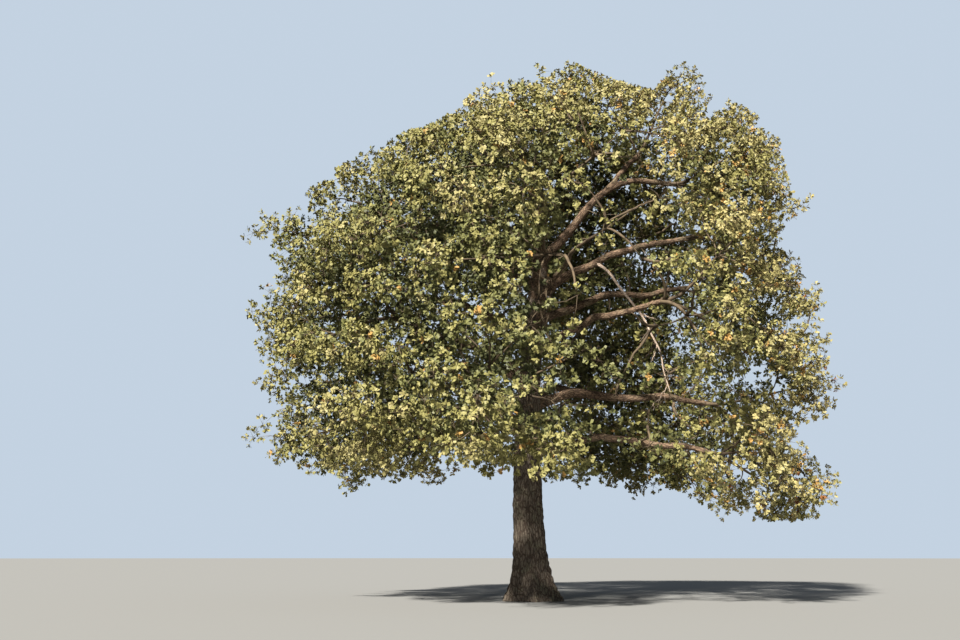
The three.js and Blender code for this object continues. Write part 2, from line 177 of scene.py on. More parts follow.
# %% The boughs' lines
BOUGH_STEPS = 8
TIP_RADIUS = 0.095
KINK = 17
Bough = namedtuple("Bough", "parent at azimuth turn rise length radius masses reach roll")
BOUGHS = {
    "right_low": Bough("trunk", 0.52, -16, -6, (24, -14), 7.0, 0.185, 2, 2.9, 0),
    "right_long": Bough("trunk", 0.67, 10, 4, (12, -10), 7.3, 0.21, 2, 3.0, 20),
    "front_right": Bough("trunk", 0.8, -46, 6, (20, -12), 6.5, 0.165, 3, 3.0, 90),
    "right_mid": Bough("trunk", 0.88, 24, -8, (26, 6), 7.2, 0.18, 2, 3.0, 60),
    "right_high": Bough("trunk", 0.95, -14, -4, (30, 6), 6.4, 0.19, 2, 2.9, 150),
    "leader_right": Bough("trunk", 0.99, -2, 6, (72, 0), 7.7, 0.215, 2, 2.8, 0),
    "leader_right_upper": Bough("leader_right", 0.62, 10, -10, (54, 44), 2.1, 0.12, 1, 2.5, 90),
    "leader_top": Bough("trunk", 0.98, 70, -20, (86, 82), 4.9, 0.19, 3, 2.9, 30),
    "left_high": Bough("trunk", 0.96, 184, -4, (41, 9), 5.6, 0.185, 3, 2.8, 90),
    "left_mid": Bough("trunk", 0.84, 192, -4, (28, 6), 6.6, 0.175, 2, 3.0, 30),
    "left_low": Bough("trunk", 0.6, 170, 6, (20, -14), 5.9, 0.185, 2, 3.0, 0),
    "front_left": Bough("trunk", 0.73, -140, -4, (26, 0), 6.6, 0.165, 2, 3.0, 30),
    "front_low": Bough("trunk", 0.57, -106, -6, (24, -12), 6.5, 0.17, 2, 3.0, 0),
    "front_mid": Bough("trunk", 0.84, -78, -6, (26, 4), 6.2, 0.165, 2, 3.0, 20),
    "front_high": Bough("trunk", 0.93, -92, 8, (46, 14), 5.5, 0.165, 2, 2.9, 0),
    "back_right": Bough("trunk", 0.68, 54, 6, (24, -8), 7.0, 0.18, 3, 3.0, 30),
    "back_left": Bough("trunk", 0.72, 126, 8, (26, -4), 7.0, 0.175, 3, 3.0, 30),
    "back_high": Bough("trunk", 0.93, 88, 0, (52, 18), 6.0, 0.17, 2, 3.0, 0),
    "dead_bough": Bough("right_high", 0.42, -40, 30, (-42, -78), 6.2, 0.062, 0, 0, 0),
}
DEAD_TIP_RADIUS = 0.02


def point_along(points, share):
    place = share * (len(points) - 1)
    i = min(int(place), len(points) - 2)
    return points[i] + (points[i + 1] - points[i]) * (place - i)


def bough_line(row, number, start, tip_radius):
    """The points, headings and radii of a bough, from its start on its parent's own line."""
    points, frames, angles = [start], [], []
    for i in range(BOUGH_STEPS + 1):
        share = i / BOUGH_STEPS
        sway, bob = (0 if i == 0 else KINK * (chance(number * 40 + i + k) * 2 - 1) for k in (0, 20))
        azimuth = row.azimuth + row.turn * share + sway
        steep = row.rise[0] + (row.rise[1] - row.rise[0]) * share**0.8 + bob * 0.7
        frames.append(frame_of(azimuth, steep))
        angles.append((azimuth, steep))
        points.append(points[-1] + frames[-1][0] * row.length / BOUGH_STEPS)
    shares = np.linspace(0, 1, BOUGH_STEPS + 1)
    radii = row.radius + (tip_radius - row.radius) * shares
    return {"points": np.array(points[:-1]), "frames": frames, "angles": angles, "radii": radii}


lines = {"trunk": trunk_line()}
for number, (name, row) in enumerate(BOUGHS.items(), 1):
    start = point_along(lines[row.parent]["points"], row.at)
    tip_radius = DEAD_TIP_RADIUS if name == "dead_bough" else TIP_RADIUS
    lines[name] = bough_line(row, number, start, tip_radius)


def cad_node(name):
    return name if name in ("trunk", "dead_bough") else "bough_" + name


def outside_box(points, low, high):
    """How far the furthest of the points lies outside a box."""
    low, high = np.array(low), np.array(high)
    return float(np.maximum(np.maximum(low - points, points - high), 0).max())


stray = {n: outside_box(line["points"][2:], *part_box(cad_node(n))) for n, line in lines.items()}
print("furthest point of a limb's line outside its CAD node:", round(max(stray.values()) * 1000, 1), "mm")

# %% [markdown]
# ## The masses of foliage
#
# Each bough's end forks into one to three masses, spread evenly round its heading. Masses that stand too
# close push each other aside, until they share the crown evenly. A stem leaves the bough's tip squarely and
# swings over to the middle of its mass.

# %% The masses of foliage
MASS_FLATTEN = 0.86
MASS_SPREAD = 52
MASS_OFFSET = 0.95
SLOT_SHARE = 0.55
SHARING_ROUNDS = 24
SHARING_ROOM = 1.5
SHARING_PUSH = 0.2
HEADING_PULL = 0.1

masses = []
for name, row in BOUGHS.items():
    heading, side, lift = lines[name]["frames"][-1]
    tip = lines[name]["points"][-1]
    spread = math.radians(MASS_SPREAD)
    for k in range(row.masses):
        turn = math.radians(row.roll + k * 360 / row.masses)
        sideways = side * math.cos(turn) + lift * math.sin(turn)
        way = heading * math.cos(spread) + sideways * math.sin(spread)
        masses.append(
            {
                "bough": name,
                "node": f"foliage_{name}_{k + 1}",
                "tip": tip,
                "heading": heading,
                "slot": sideways * TIP_RADIUS * SLOT_SHARE,
                "middle": tip + way * row.reach * MASS_OFFSET,
                "reach": row.reach,
                "number": len(masses),
            }
        )

reaches = np.array([mass["reach"] for mass in masses])
tips = np.array([mass["tip"] for mass in masses])
headings = np.array([mass["heading"] for mass in masses])
middles = np.array([mass["middle"] for mass in masses])
for _ in range(SHARING_ROUNDS):
    away = middles[:, None] - middles[None]
    apart = np.linalg.norm(away, axis=2)
    short = SHARING_ROOM * (reaches[:, None] + reaches[None]) / 2 - apart
    np.fill_diagonal(short, 0)
    np.fill_diagonal(apart, 1)
    push = (away / apart[..., None] * np.maximum(short, 0)[..., None]).sum(1) * SHARING_PUSH
    place = middles + headings * (HEADING_PULL * reaches)[:, None] + push
    middles = tips + unit(place - tips) * (reaches * MASS_OFFSET)[:, None]
for mass, middle in zip(masses, middles):
    mass["middle"] = middle

stray = [outside_box(m["middle"], *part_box(m["node"])) for m in masses]
print(len(masses), "masses; furthest middle outside its CAD node:", round(max(stray), 2), "m")

# %% [markdown]
# ## Helpers for modelling
#
# Loading the model leaves its parts selected, and an operator acts on all that is selected. So each new
# piece starts with nothing selected. A finished modifier is applied at once, and a finished piece rides on
# the tree's one body and takes the place of its CAD node.

# %% Modelling helpers
def add_modifier(obj, kind, **values):
    """Adds a modifier, sets its values and applies it."""
    bpy.ops.object.select_all(action="DESELECT")
    bpy.context.view_layer.objects.active = obj
    obj.select_set(True)
    bpy.ops.object.modifier_add(type=kind)
    modifier = obj.modifiers[-1]
    for key, value in values.items():
        setattr(modifier, key, value)
    bpy.ops.object.modifier_apply(modifier=modifier.name)


def coordinates(mesh):
    flat = np.empty(len(mesh.vertices) * 3, np.float32)
    mesh.vertices.foreach_get("co", flat)
    return flat.reshape(-1, 3)


def keep_place(mesh, places):
    """Stores each vertex's place on the straight limb, which the bark's pattern reads."""
    attribute = mesh.attributes.new("straight", "FLOAT_VECTOR", "POINT")
    attribute.data.foreach_set("vector", np.ascontiguousarray(places, np.float32).ravel())


def finish_piece(obj, material, slot, *nodes):
    obj.data.materials.clear()
    obj.data.materials.append(material)
    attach(obj, "root")
    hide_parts(*nodes)


def triangle_count(obj):
    return sum(len(face.vertices) - 2 for face in obj.data.polygons)


# %% [markdown]
# ## Wiring nodes
#
# A material is a tree of nodes. What several materials share is a node group: a smaller tree with inputs and
# outputs of its own. By hand each node is added and linked with the mouse. Here one call adds a node, sets
# it and feeds its sockets, so that a pattern reads like a sum.

# %% Helpers for nodes
class Wiring:
    """Adds nodes to a tree, each with its settings and what feeds its sockets."""

    def __init__(self, tree):
        self.tree = tree

    def feed(self, node, feeds):
        """Links each named socket to another node's output, or gives it a value."""
        for label, value in feeds.items():
            if isinstance(value, bpy.types.NodeSocket):
                self.tree.links.new(value, node.inputs[label])
            else:
                node.inputs[label].default_value = value

    def node(self, kind, feeds=None, **settings):
        made = self.tree.nodes.new("ShaderNode" + kind)
        for key, value in settings.items():
            setattr(made, key, value)
        self.feed(made, feeds or {})
        return made

    def math(self, operation, a, b):
        return self.node("Math", {0: a, 1: b}, operation=operation).outputs[0]

    def vector(self, operation, a, b):
        return self.node("VectorMath", {0: a, 1: b}, operation=operation).outputs[0]

    def noise(self, place, scale, detail, roughness=0.5):
        feeds = {"Vector": place, "Scale": scale, "Detail": detail, "Roughness": roughness}
        return self.node("TexNoise", feeds).outputs

    def border(self, place, scale):
        """The distance to the nearest border of the cells of a Voronoi pattern."""
        made = self.node("TexVoronoi", {"Vector": place, "Scale": scale}, feature="DISTANCE_TO_EDGE")
        return made.outputs["Distance"]

    def ramp(self, value, low, high):
        """0 where the value is below low, 1 above high, smooth between."""
        feeds = {"Value": value, "From Min": low, "From Max": high}
        return self.node("MapRange", feeds, interpolation_type="SMOOTHSTEP").outputs["Result"]

    def spread(self, value, low, high):
        """A value from 0 to 1, spread from low to high."""
        feeds = {"Value": value, "To Min": low, "To Max": high}
        return self.node("MapRange", feeds).outputs["Result"]

    def mix(self, factor, a, b):
        return self.node("Mix", {0: factor, 6: a, 7: b}, data_type="RGBA").outputs[2]

    def put_out(self, **values):
        """Links what leaves a group."""
        self.feed(self.tree.nodes.new("NodeGroupOutput"), values)


def color(text):
    """A colour as painters write it, in the linear values that a shader takes."""
    parts = [int(text[i : i + 2], 16) / 255 for i in (0, 2, 4)]
    return [p / 12.92 if p <= 0.04045 else ((p + 0.055) / 1.055) ** 2.4 for p in parts] + [1.0]


def new_group(name, **inputs):
    """A group that gives a surface's colour, roughness and height at a place."""
    group = bpy.data.node_groups.new(name, "ShaderNodeTree")

    def add(label, kind, way):
        return group.interface.new_socket(label, in_out=way, socket_type="NodeSocket" + kind)

    add("Place", "Vector", "INPUT")
    for label, value in inputs.items():
        kind = "Float" if isinstance(value, float) else "Color"
        add(label.replace("_", " "), kind, "INPUT").default_value = value
    for label, kind in (("Color", "Color"), ("Roughness", "Float"), ("Height", "Float")):
        add(label, kind, "OUTPUT")
    return Wiring(group), group.nodes.new("NodeGroupInput").outputs


print("middle grey, as a shader takes it:", [round(part, 3) for part in color("808080")])

# %% [markdown]
# ## Bark
#
# Old oak bark is a net of long ridges with furrows between them. A Voronoi pattern gives the distance
# to the nearest cell border: a furrow where it is small and a ridge where it is large. The furrows and
# cracks
# are coloured darker than the ridges: partly the bark's own darker colour, partly painted shade in the
# crevices. Stretching the place along the limb makes the cells long. Both the trunk and the boughs use the
# effect, so it is a node group with its own inputs, placed in each bark with other values. It reads the
# place on the straight limb, because a pattern in the room's directions would run across a level bough.

# %% The bark's node group
LONG_CELLS = (1.0, 1.0, 0.24)
SHORT_CRACKS = (1.0, 1.0, 2.2)
CRACKS_PER_RIDGE = 2.7
FURROW_EDGES = (0.015, 0.17)
CRACK_EDGES = (0.0, 0.12)
LICHEN_EDGES = (0.5, 0.66)

w, given = new_group(
    "Ridged bark",
    Ridges=9.0,
    Ridge_Color=color("8a7d6c"),
    Furrow_Color=color("2e261e"),
    Lichen_Color=color("8b9170"),
    Lichen=0.4,
)
bark_group = w.tree
bend = w.noise(given["Place"], scale=2.6, detail=3.0)["Color"]
nudge = w.node("VectorMath", {0: bend, "Scale": 0.16}, operation="SCALE").outputs[0]
long = w.vector("MULTIPLY", w.vector("ADD", given["Place"], nudge), LONG_CELLS)
fine = w.vector("MULTIPLY", long, SHORT_CRACKS)
furrow = w.ramp(w.border(long, given["Ridges"]), *FURROW_EDGES)
crack = w.ramp(w.border(fine, w.math("MULTIPLY", given["Ridges"], CRACKS_PER_RIDGE)), *CRACK_EDGES)
ridge = w.math("MULTIPLY", furrow, w.math("ADD", w.math("MULTIPLY", crack, 0.45), 0.55))
grain = w.noise(long, scale=46.0, detail=5.0, roughness=0.65)["Fac"]
patch = w.noise(given["Place"], scale=1.7, detail=4.0)["Fac"]
grey = w.mix(w.ramp(grain, 0.3, 0.7), given["Furrow Color"], given["Ridge Color"])
ridged = w.mix(w.math("MULTIPLY", ridge, 0.6), grey, given["Ridge Color"])
# Furrows and cracks take the furrow colour: partly the bark's own darker colour, partly painted shade in the
# crevices.
furrowed = w.mix(ridge, given["Furrow Color"], ridged)
spots = w.math("MULTIPLY", w.ramp(patch, *LICHEN_EDGES), given["Lichen"])
w.put_out(
    Color=w.mix(w.math("MULTIPLY", spots, ridge), furrowed, given["Lichen Color"]),
    Roughness=w.spread(grain, 0.8, 0.97),
    Height=w.math("ADD", w.math("MULTIPLY", ridge, 0.75), w.math("MULTIPLY", grain, 0.25)),
)
print("bark group:", len(bark_group.nodes), "nodes")

# %% [markdown]
# A material places a group, sets its inputs, and feeds the shader from it. The trunk's bark is the
# coarsest. The boughs' ridges are finer, warmer in colour and a little paler. Dead wood has lost its bark:
# it is pale, with fine cracks that run along it, so its cells are longer and its furrows thin.

# %% Barks
def surfaced(name, group, source, bump, gloss=0.25, **values):
    """A material whose colour, roughness and relief come from a node group."""
    material = bpy.data.materials.new(name)
    material.use_nodes = True
    w = Wiring(material.node_tree)
    if source == "straight":
        place = w.node("Attribute", attribute_name="straight").outputs["Vector"]
    else:
        place = w.node("TexCoord").outputs["Object"]
    values = {label.replace("_", " "): value for label, value in values.items()}
    made = w.node("Group", {"Place": place, **values}, node_tree=group)
    relief = w.node("Bump", {"Height": made.outputs["Height"], "Distance": bump})
    feeds = {
        "Base Color": made.outputs["Color"],
        "Roughness": made.outputs["Roughness"],
        "Normal": relief.outputs["Normal"],
        "Specular IOR Level": gloss,
    }
    w.feed(material.node_tree.nodes["Principled BSDF"], feeds)
    return material


# Each Furrow Color is partly the bark's own darker colour in its furrows, partly painted shade there.
trunk_bark = surfaced(
    "trunk bark", bark_group, "straight", bump=0.03,
    Ridges=10.0, Ridge_Color=color("7f7466"), Furrow_Color=color("43382f"), Lichen=0.22,
)
bough_bark = surfaced(
    "bough bark", bark_group, "straight", bump=0.014,
    Ridges=15.0, Ridge_Color=color("8c745d"), Furrow_Color=color("43352a"), Lichen=0.25,
)
bare_wood = surfaced(
    "bare wood", bark_group, "straight", bump=0.006,
    Ridges=24.0, Ridge_Color=color("c2ae9a"), Furrow_Color=color("86776a"), Lichen=0.05,
)
print("barks:", trunk_bark.name + ",", bough_bark.name + ",", bare_wood.name)

# %% [markdown]
# ## The trunk
#
# A trunk could be lofted from a few sections, but by hand it is simplest to start with a disc under the
# ground and to extrude it upwards ring by ring, moving and resizing each ring about its own middle. A few
# smaller rings close it in a dome between the highest boughs.

# %% Trunk
TRUNK_SIDES = 44
TRUNK_RING = 0.15
TRUNK_DOME = ((0.12, 0.94), (0.10, 0.82), (0.08, 0.62), (0.05, 0.35))
START_DEPTH = 0.3
START_GROWTH = 1.1


def extruded(name, sides, rings):
    """A closed tube: a disc at the first ring's middle and radius, extruded to each of the others."""
    (before, was), *others = rings
    bpy.ops.object.select_all(action="DESELECT")
    bpy.ops.mesh.primitive_circle_add(vertices=sides, radius=was, fill_type="NGON", location=before)
    obj = bpy.context.object
    obj.name = name
    bpy.ops.object.transform_apply(location=True)
    bpy.ops.object.mode_set(mode="EDIT")
    for middle, radius in others:
        step = tuple(np.subtract(middle, before))
        grow = radius / was
        bpy.ops.mesh.extrude_region_move(TRANSFORM_OT_translate={"value": step})
        bpy.ops.transform.resize(value=(grow, grow, 1), center_override=tuple(middle))
        before, was = middle, radius
    bpy.ops.mesh.select_all(action="SELECT")
    bpy.ops.mesh.normals_make_consistent(inside=False)
    bpy.ops.object.mode_set(mode="OBJECT")
    return obj


middle, radius = trunk_at(0)
rings = [((middle[0], middle[1], -START_DEPTH), radius * START_GROWTH)]
count = round(TRUNK_HEIGHT / TRUNK_RING)
rings += [trunk_at(i / count) for i in range(count + 1)]
top, fork = rings[-1]
rise_so_far = 0
for rise, share in TRUNK_DOME:
    rise_so_far += rise
    rings.append((top + np.array([0, 0, rise_so_far]), fork * share))
trunk = extruded("trunk_bark", TRUNK_SIDES, rings)
add_modifier(trunk, "SUBSURF", levels=1, render_levels=1)
print("trunk:", len(rings), "rings,", triangle_count(trunk), "triangles so far")

# %% [markdown]
# ## Buttresses and plates of bark
#
# The buttresses are pushed out by a Displace modifier that a vertex group limits to them. A group's weight
# can't be below zero, so a weight of a half stands for no push, and a second, even Displace draws the whole
# trunk back by as much. A finer Displace, with a Voronoi texture stretched along the trunk, raises the
# bark's plates. At the end a level cut takes off what is under the ground.

# %% Buttresses and plates
WEAKEST_LOBE = 0.75
STRONGEST_LOBE = 1.25
TRUNK_RELIEF = 0.09
TRUNK_LEVEL = 0.22
TRUNK_CELL = (0.11, 0.11, 0.42)
plates = bpy.data.textures.new("bark plates", "VORONOI")
plates.weight_1, plates.weight_2 = -1, 1
plates.noise_scale = 1.0
plates.noise_intensity = 1.6


def raise_bark(obj, relief, level, cell, shift=(0, 0, 0)):
    """Raises the bark's plates. An empty's size and place set those of the texture's cells."""
    empty = bpy.data.objects.new("stretcher", None)
    bpy.context.scene.collection.objects.link(empty)
    empty.location, empty.scale = shift, cell
    bpy.context.view_layer.update()
    add_modifier(
        obj, "DISPLACE", texture=plates, texture_coords="OBJECT", texture_coords_object=empty,
        strength=relief, mid_level=level,
    )
    bpy.data.objects.remove(empty)


def trunk_axis(points):
    """The trunk's middle at the height of each point."""
    return np.array([trunk_at(z / TRUNK_HEIGHT)[0] for z in points[:, 2]])


points = coordinates(trunk.data)
axis = trunk_axis(points)
around = np.arctan2(points[:, 1] - axis[:, 1], points[:, 0] - axis[:, 0])
lobe = np.floor((around / (2 * math.pi) * BUTTRESS_COUNT) % BUTTRESS_COUNT).astype(int)
lobes = [WEAKEST_LOBE + (STRONGEST_LOBE - WEAKEST_LOBE) * chance(k + 3) for k in range(BUTTRESS_COUNT)]
fading = np.exp(-np.maximum(points[:, 2], 0) / (2 * FLARE_HEIGHT))
push = np.array(lobes)[lobe] * -np.cos(around * BUTTRESS_COUNT) * fading
buttresses = trunk.vertex_groups.new(name="buttresses")
for i, value in enumerate(push):
    buttresses.add([i], 0.5 + 0.5 * float(np.clip(value / STRONGEST_LOBE, -1, 1)), "REPLACE")
flare = (TRUNK_BUTT_RADIUS + FLARE_RADIUS) * BUTTRESS_DEPTH * STRONGEST_LOBE
add_modifier(trunk, "DISPLACE", vertex_group="buttresses", strength=2 * flare, mid_level=0.0)
add_modifier(trunk, "DISPLACE", strength=-flare, mid_level=0.0)
add_modifier(trunk, "SUBSURF", levels=1, render_levels=1)
raise_bark(trunk, TRUNK_RELIEF, TRUNK_LEVEL, TRUNK_CELL)
bpy.ops.object.mode_set(mode="EDIT")
bpy.ops.mesh.select_all(action="SELECT")
bpy.ops.mesh.bisect(plane_co=(0, 0, 0), plane_no=(0, 0, 1), use_fill=True, clear_inner=True)
bpy.ops.object.mode_set(mode="OBJECT")
bpy.ops.object.shade_smooth()
points = coordinates(trunk.data)
keep_place(trunk.data, points - trunk_axis(points) * (1, 1, 0))
finish_piece(trunk, trunk_bark, "trunk_bark", "trunk")
print("trunk:", triangle_count(trunk), "triangles, box", points.min(0).round(2), points.max(0).round(2))

# %% [markdown]
# ## The boughs
#
# A bough is modelled as a straight pole, because the relief of its bark is easy to raise there: it runs
# along Z. Its foot widens where it leaves the trunk, its ends are rounded, and each ring swells or shrinks
# a little by chance. Then a Curve modifier bends the pole along the bough's own line. The place of each
# vertex on the straight pole is stored before that, for the pattern of the bark.

# %% Boughs
BOUGH_SIDES = 16
BOUGH_RING = 0.16
COLLAR = 0.55
COLLAR_REACH = 1.3
POLE_FOOT = (0.02, 0.6)
POLE_TIP = ((0.5, 0.8), (0.85, 0.45))
BOUGH_RELIEF = 0.05
BOUGH_LEVEL = 0.2
BOUGH_CELL = (0.06, 0.06, 0.22)


def path_curve(points):
    """A smooth Bezier curve through the points of a limb's line."""
    data = bpy.data.curves.new("path", "CURVE")
    data.dimensions = "3D"
    data.resolution_u = 10
    spline = data.splines.new("BEZIER")
    spline.bezier_points.add(len(points) - 1)
    for knot, point in zip(spline.bezier_points, points):
        knot.co = point
        knot.handle_left_type = knot.handle_right_type = "AUTO"
    curve = bpy.data.objects.new("path", data)
    bpy.context.scene.collection.objects.link(curve)
    bpy.context.view_layer.update()
    return curve


def pole(name, length, radius_at, number):
    """A straight pole along Z whose rings follow radius_at, with both ends rounded."""
    count = max(8, round(length / BOUGH_RING))
    rise, share = POLE_FOOT
    heights = [rise] + [length * i / count for i in range(1, count + 1)]
    radii = [radius_at(z) * (0.97 + 0.06 * chance(number * 97 + i)) for i, z in enumerate(heights)]
    rings = [(0, radius_at(0) * share), *zip(heights, radii)]
    rings += [(length + radii[-1] * rise, radii[-1] * share) for rise, share in POLE_TIP]
    return extruded(name, BOUGH_SIDES, [((0, 0, z), radius) for z, radius in rings])


def limb(name, number, piece, material, slot, relief, cell):
    """Models one bough as a pole, raises its bark, and bends it along its line."""
    row, line = BOUGHS[name], lines[name]
    collar = point_along(lines[row.parent]["radii"], row.at) * COLLAR_REACH
    curve = path_curve(line["points"])
    length = curve.data.splines[0].calc_length()

    def radius_at(z):
        share = min(z / length, 1)
        taper = line["radii"][0] + (line["radii"][-1] - line["radii"][0]) * share
        return taper * (1 + COLLAR * math.exp(-((z / collar) ** 2)))

    obj = pole(piece, length, radius_at, number)
    add_modifier(obj, "SUBSURF", levels=1, render_levels=1)
    raise_bark(obj, relief, BOUGH_LEVEL, cell, (number * 1.7, number * 0.9, 0))
    keep_place(obj.data, coordinates(obj.data) + (number * 3.1, 0, 0))
    add_modifier(obj, "CURVE", object=curve, deform_axis="POS_Z")
    bpy.data.objects.remove(curve)
    bpy.ops.object.shade_smooth()
    finish_piece(obj, material, slot, cad_node(name))
    return obj


total = 0
for number, name in enumerate(BOUGHS, 1):
    if name != "dead_bough":
        piece = f"bough_{name}_bark"
        made = limb(name, number, piece, bough_bark, "bough_bark", BOUGH_RELIEF, BOUGH_CELL)
        total += triangle_count(made)
print("boughs:", len(BOUGHS) - 1, "pieces,", total, "triangles")

# %% [markdown]
# ## Fine twigs as tubes
#
# There are tens of thousands of twigs, far too many to call an operator for each. So they are made from
# arrays: a ring of corners round each station of each twig, joined to the next ring, closed at the foot and
# drawn to a point at the end. The whole set becomes one mesh.

# %% Tubes from arrays
def tubes(paths, radii, sides, closed=True):
    """Corners and triangles of many tubes. paths: (tubes, stations, 3); the last station is the point."""
    count, stations, _ = paths.shape
    along = unit(np.gradient(paths, axis=1))
    steep = np.abs(along[:, :1, 2:]) > 0.9
    side = unit(np.cross(along, np.where(steep, [1.0, 0, 0], [0, 0, 1.0])))
    lift = np.cross(along, side)
    turn = np.arange(sides) * 2 * math.pi / sides
    across = side[:, :, None] * np.cos(turn)[:, None] + lift[:, :, None] * np.sin(turn)[:, None]
    rings = (paths[:, :, None] + across * radii[:, :, None, None])[:, :-1]
    each = (stations - 1) * sides + 1
    corners = np.concatenate([rings.reshape(count, -1, 3), paths[:, -1:]], axis=1)
    faces = []
    for k in range(sides):
        n = (k + 1) % sides
        for s in range(stations - 2):
            a, b = s * sides + k, s * sides + n
            faces += [(a, b, b + sides), (a, b + sides, a + sides)]
        faces.append(((stations - 2) * sides + k, (stations - 2) * sides + n, each - 1))
    if closed:
        faces += [(0, k + 1, k) for k in range(1, sides - 1)]
    triangles = np.array(faces)[None] + (np.arange(count) * each)[:, None, None]
    return corners.reshape(-1, 3), triangles.reshape(-1, 3)


def array_mesh(name, corners, triangles):
    """One mesh object from an array of corners and an array of triangles."""
    mesh = bpy.data.meshes.new(name)
    mesh.vertices.add(len(corners))
    mesh.vertices.foreach_set("co", np.ascontiguousarray(corners, np.float32).ravel())
    mesh.loops.add(len(triangles) * 3)
    mesh.loops.foreach_set("vertex_index", np.ascontiguousarray(triangles, np.int32).ravel())
    mesh.polygons.add(len(triangles))
    mesh.polygons.foreach_set("loop_start", np.arange(len(triangles), dtype=np.int32) * 3)
    mesh.update(calc_edges=True)
    obj = bpy.data.objects.new(name, mesh)
    bpy.context.scene.collection.objects.link(obj)
    return obj


def curved(starts, leads, ends, stations, bulge=0.35):
    """Bent paths. Each leaves its start between its lead and the way to its end."""
    span = np.linalg.norm(ends - starts, axis=1, keepdims=True)
    control = starts + unit(leads + (ends - starts) / span) * span * bulge
    t = np.linspace(0, 1, stations)[None, :, None]
    return (1 - t) ** 2 * starts[:, None] + 2 * t * (1 - t) * control[:, None] + t**2 * ends[:, None]


# %% [markdown]
# ## The dead bough
#
# One bough hangs down, bare and pale. It is bent from a pole like the others. Its twigs fork off its outer
# half, at the places and angles that the CAD model gives them, and each carries some finer ones.

# %% Dead bough
DEAD_TWIGS = 5
DEAD_TWIG_LENGTH = 1.3
DEAD_TWIG_RADIUS = 0.02
DEAD_SIDE_RADIUS = 0.009
DEAD_STATIONS = 7
DEAD_KINK = 0.018
DEAD_RELIEF = 0.016
DEAD_CELL = (0.03, 0.03, 0.3)
dice = np.random.default_rng(11)

number = len(BOUGHS)
dead = limb("dead_bough", number, "dead_bough_wood", bare_wood, "bare_wood", DEAD_RELIEF, DEAD_CELL)
line = lines["dead_bough"]
paths, sizes = [], []


def dead_twig(start, lead, end, radius):
    """Adds a bent and slightly kinked twig, and gives its path."""
    path = curved(start[None], lead[None], end[None], DEAD_STATIONS, bulge=0.2)[0]
    path[1:-1] += dice.normal(0, DEAD_KINK, (DEAD_STATIONS - 2, 3))
    paths.append(path)
    sizes.append(radius)
    return path


for k in range(DEAD_TWIGS):
    share = 0.45 + 0.5 * k / (DEAD_TWIGS - 1)
    near = math.floor(share * BOUGH_STEPS + 0.5)
    azimuth, rise = line["angles"][near]
    heading = frame_of(azimuth + k * 137, rise + 35)[0]
    start = point_along(line["points"], share)
    length = DEAD_TWIG_LENGTH * (0.6 + 0.4 * chance(k + 7))
    path = dead_twig(start, line["frames"][near][0], start + heading * length, DEAD_TWIG_RADIUS)
    for j, fork in enumerate(path[2:-1]):
        aside = unit(heading + dice.normal(0, 0.55, 3))
        dead_twig(fork, heading, fork + aside * length * (0.5 - 0.08 * j), DEAD_SIDE_RADIUS)
radii = np.array(sizes)[:, None] * np.linspace(1, 0.35, DEAD_STATIONS)
corners, triangles = tubes(np.array(paths), radii, sides=6)
dead_twigs = array_mesh("dead_bough_twigs", corners, triangles)
keep_place(dead_twigs.data, corners)
dead_twigs.data.shade_smooth()
finish_piece(dead_twigs, bare_wood, "bare_wood", "dead_bough")
print("dead bough:", triangle_count(dead), "triangles, and", len(paths), "bare twigs")

# %% [markdown]
# ## Where a twig may grow
#
# A mass keeps to its own space: an ellipsoid round its middle, cut off half way to the middle of every
# other mass, and not below the crown's base. A twig keeps clear of every limb but its own stem. The tests
# take many points at once.

# %% Room for twigs
CROWN_BASE = 2.9
CELL_GAP = 0.045
LIMB_MARGIN = 0.06
STEM_RADIUS = 0.042
STEM_STEPS = 4
FIT_GAP = 0.0003
STEM_SHAPE = (0.3, 0.6, 0.3)
NEAR_LIMB = 1.5


def bezier(p, t):
    """A point on a cubic curve, and the direction of the curve there."""
    a, b, c, d = p
    u = 1 - t
    point = u**3 * a + 3 * u * u * t * b + 3 * u * t * t * c + t**3 * d
    return point, unit(3 * u * u * (b - a) + 6 * u * t * (c - b) + 3 * t * t * (d - c))


def stem_curve(mass):
    """The stem's curve: squarely off the bough's tip, then over to the middle and a little past it."""
    lead, bend, past = STEM_SHAPE
    start = mass["tip"] + mass["slot"] + mass["heading"] * FIT_GAP
    out = mass["middle"] - mass["tip"]
    squarely = start + mass["heading"] * mass["reach"] * lead
    return start, squarely, start + out * bend, mass["middle"] + out * past


for mass in masses:
    mass["curve"] = stem_curve(mass)
    mass["stem"] = np.array([bezier(mass["curve"], i / STEM_STEPS)[0] for i in range(STEM_STEPS + 1)])

capsules = []
for line in lines.values():
    capsules += [(a, b, r, -1) for a, b, r in zip(line["points"], line["points"][1:], line["radii"])]
for mass in masses:
    radii = STEM_RADIUS * (1 - 0.45 * np.linspace(0, 1, STEM_STEPS + 1))
    capsules += [(a, b, r, mass["number"]) for a, b, r in zip(mass["stem"], mass["stem"][1:], radii)]
capsule_from, capsule_to, capsule_radius, capsule_owner = (np.array(part) for part in zip(*capsules))
capsule_along = capsule_to - capsule_from


def clear_of(points, margin, chosen):
    """True for each point that keeps the margin to all the chosen lengths of limb."""
    start, along = capsule_from[chosen], capsule_along[chosen]
    off = points[:, None] - start[None]
    share = np.clip((off * along).sum(2) / (along * along).sum(1), 0, 1)
    gap = np.linalg.norm(off - along[None] * share[..., None], axis=2) - capsule_radius[chosen]
    return (gap > margin).all(1)


def clear_of_limbs(points, mass):
    """True for each point that is clear of all limbs but the mass's own stem."""
    centre = capsule_from + capsule_along / 2
    near = np.linalg.norm(centre - mass["middle"], axis=1) < mass["reach"] + NEAR_LIMB
    return clear_of(points, LIMB_MARGIN, near & (capsule_owner != mass["number"]))


def in_own_cell(points, mass, gap):
    """True for each point that is nearer to the mass's middle than to any other, by a gap."""
    between = np.delete(middles, mass["number"], 0) - mass["middle"]
    apart = np.linalg.norm(between, axis=1)
    return ((points - mass["middle"]) @ between.T / apart < apart / 2 - gap).all(1)


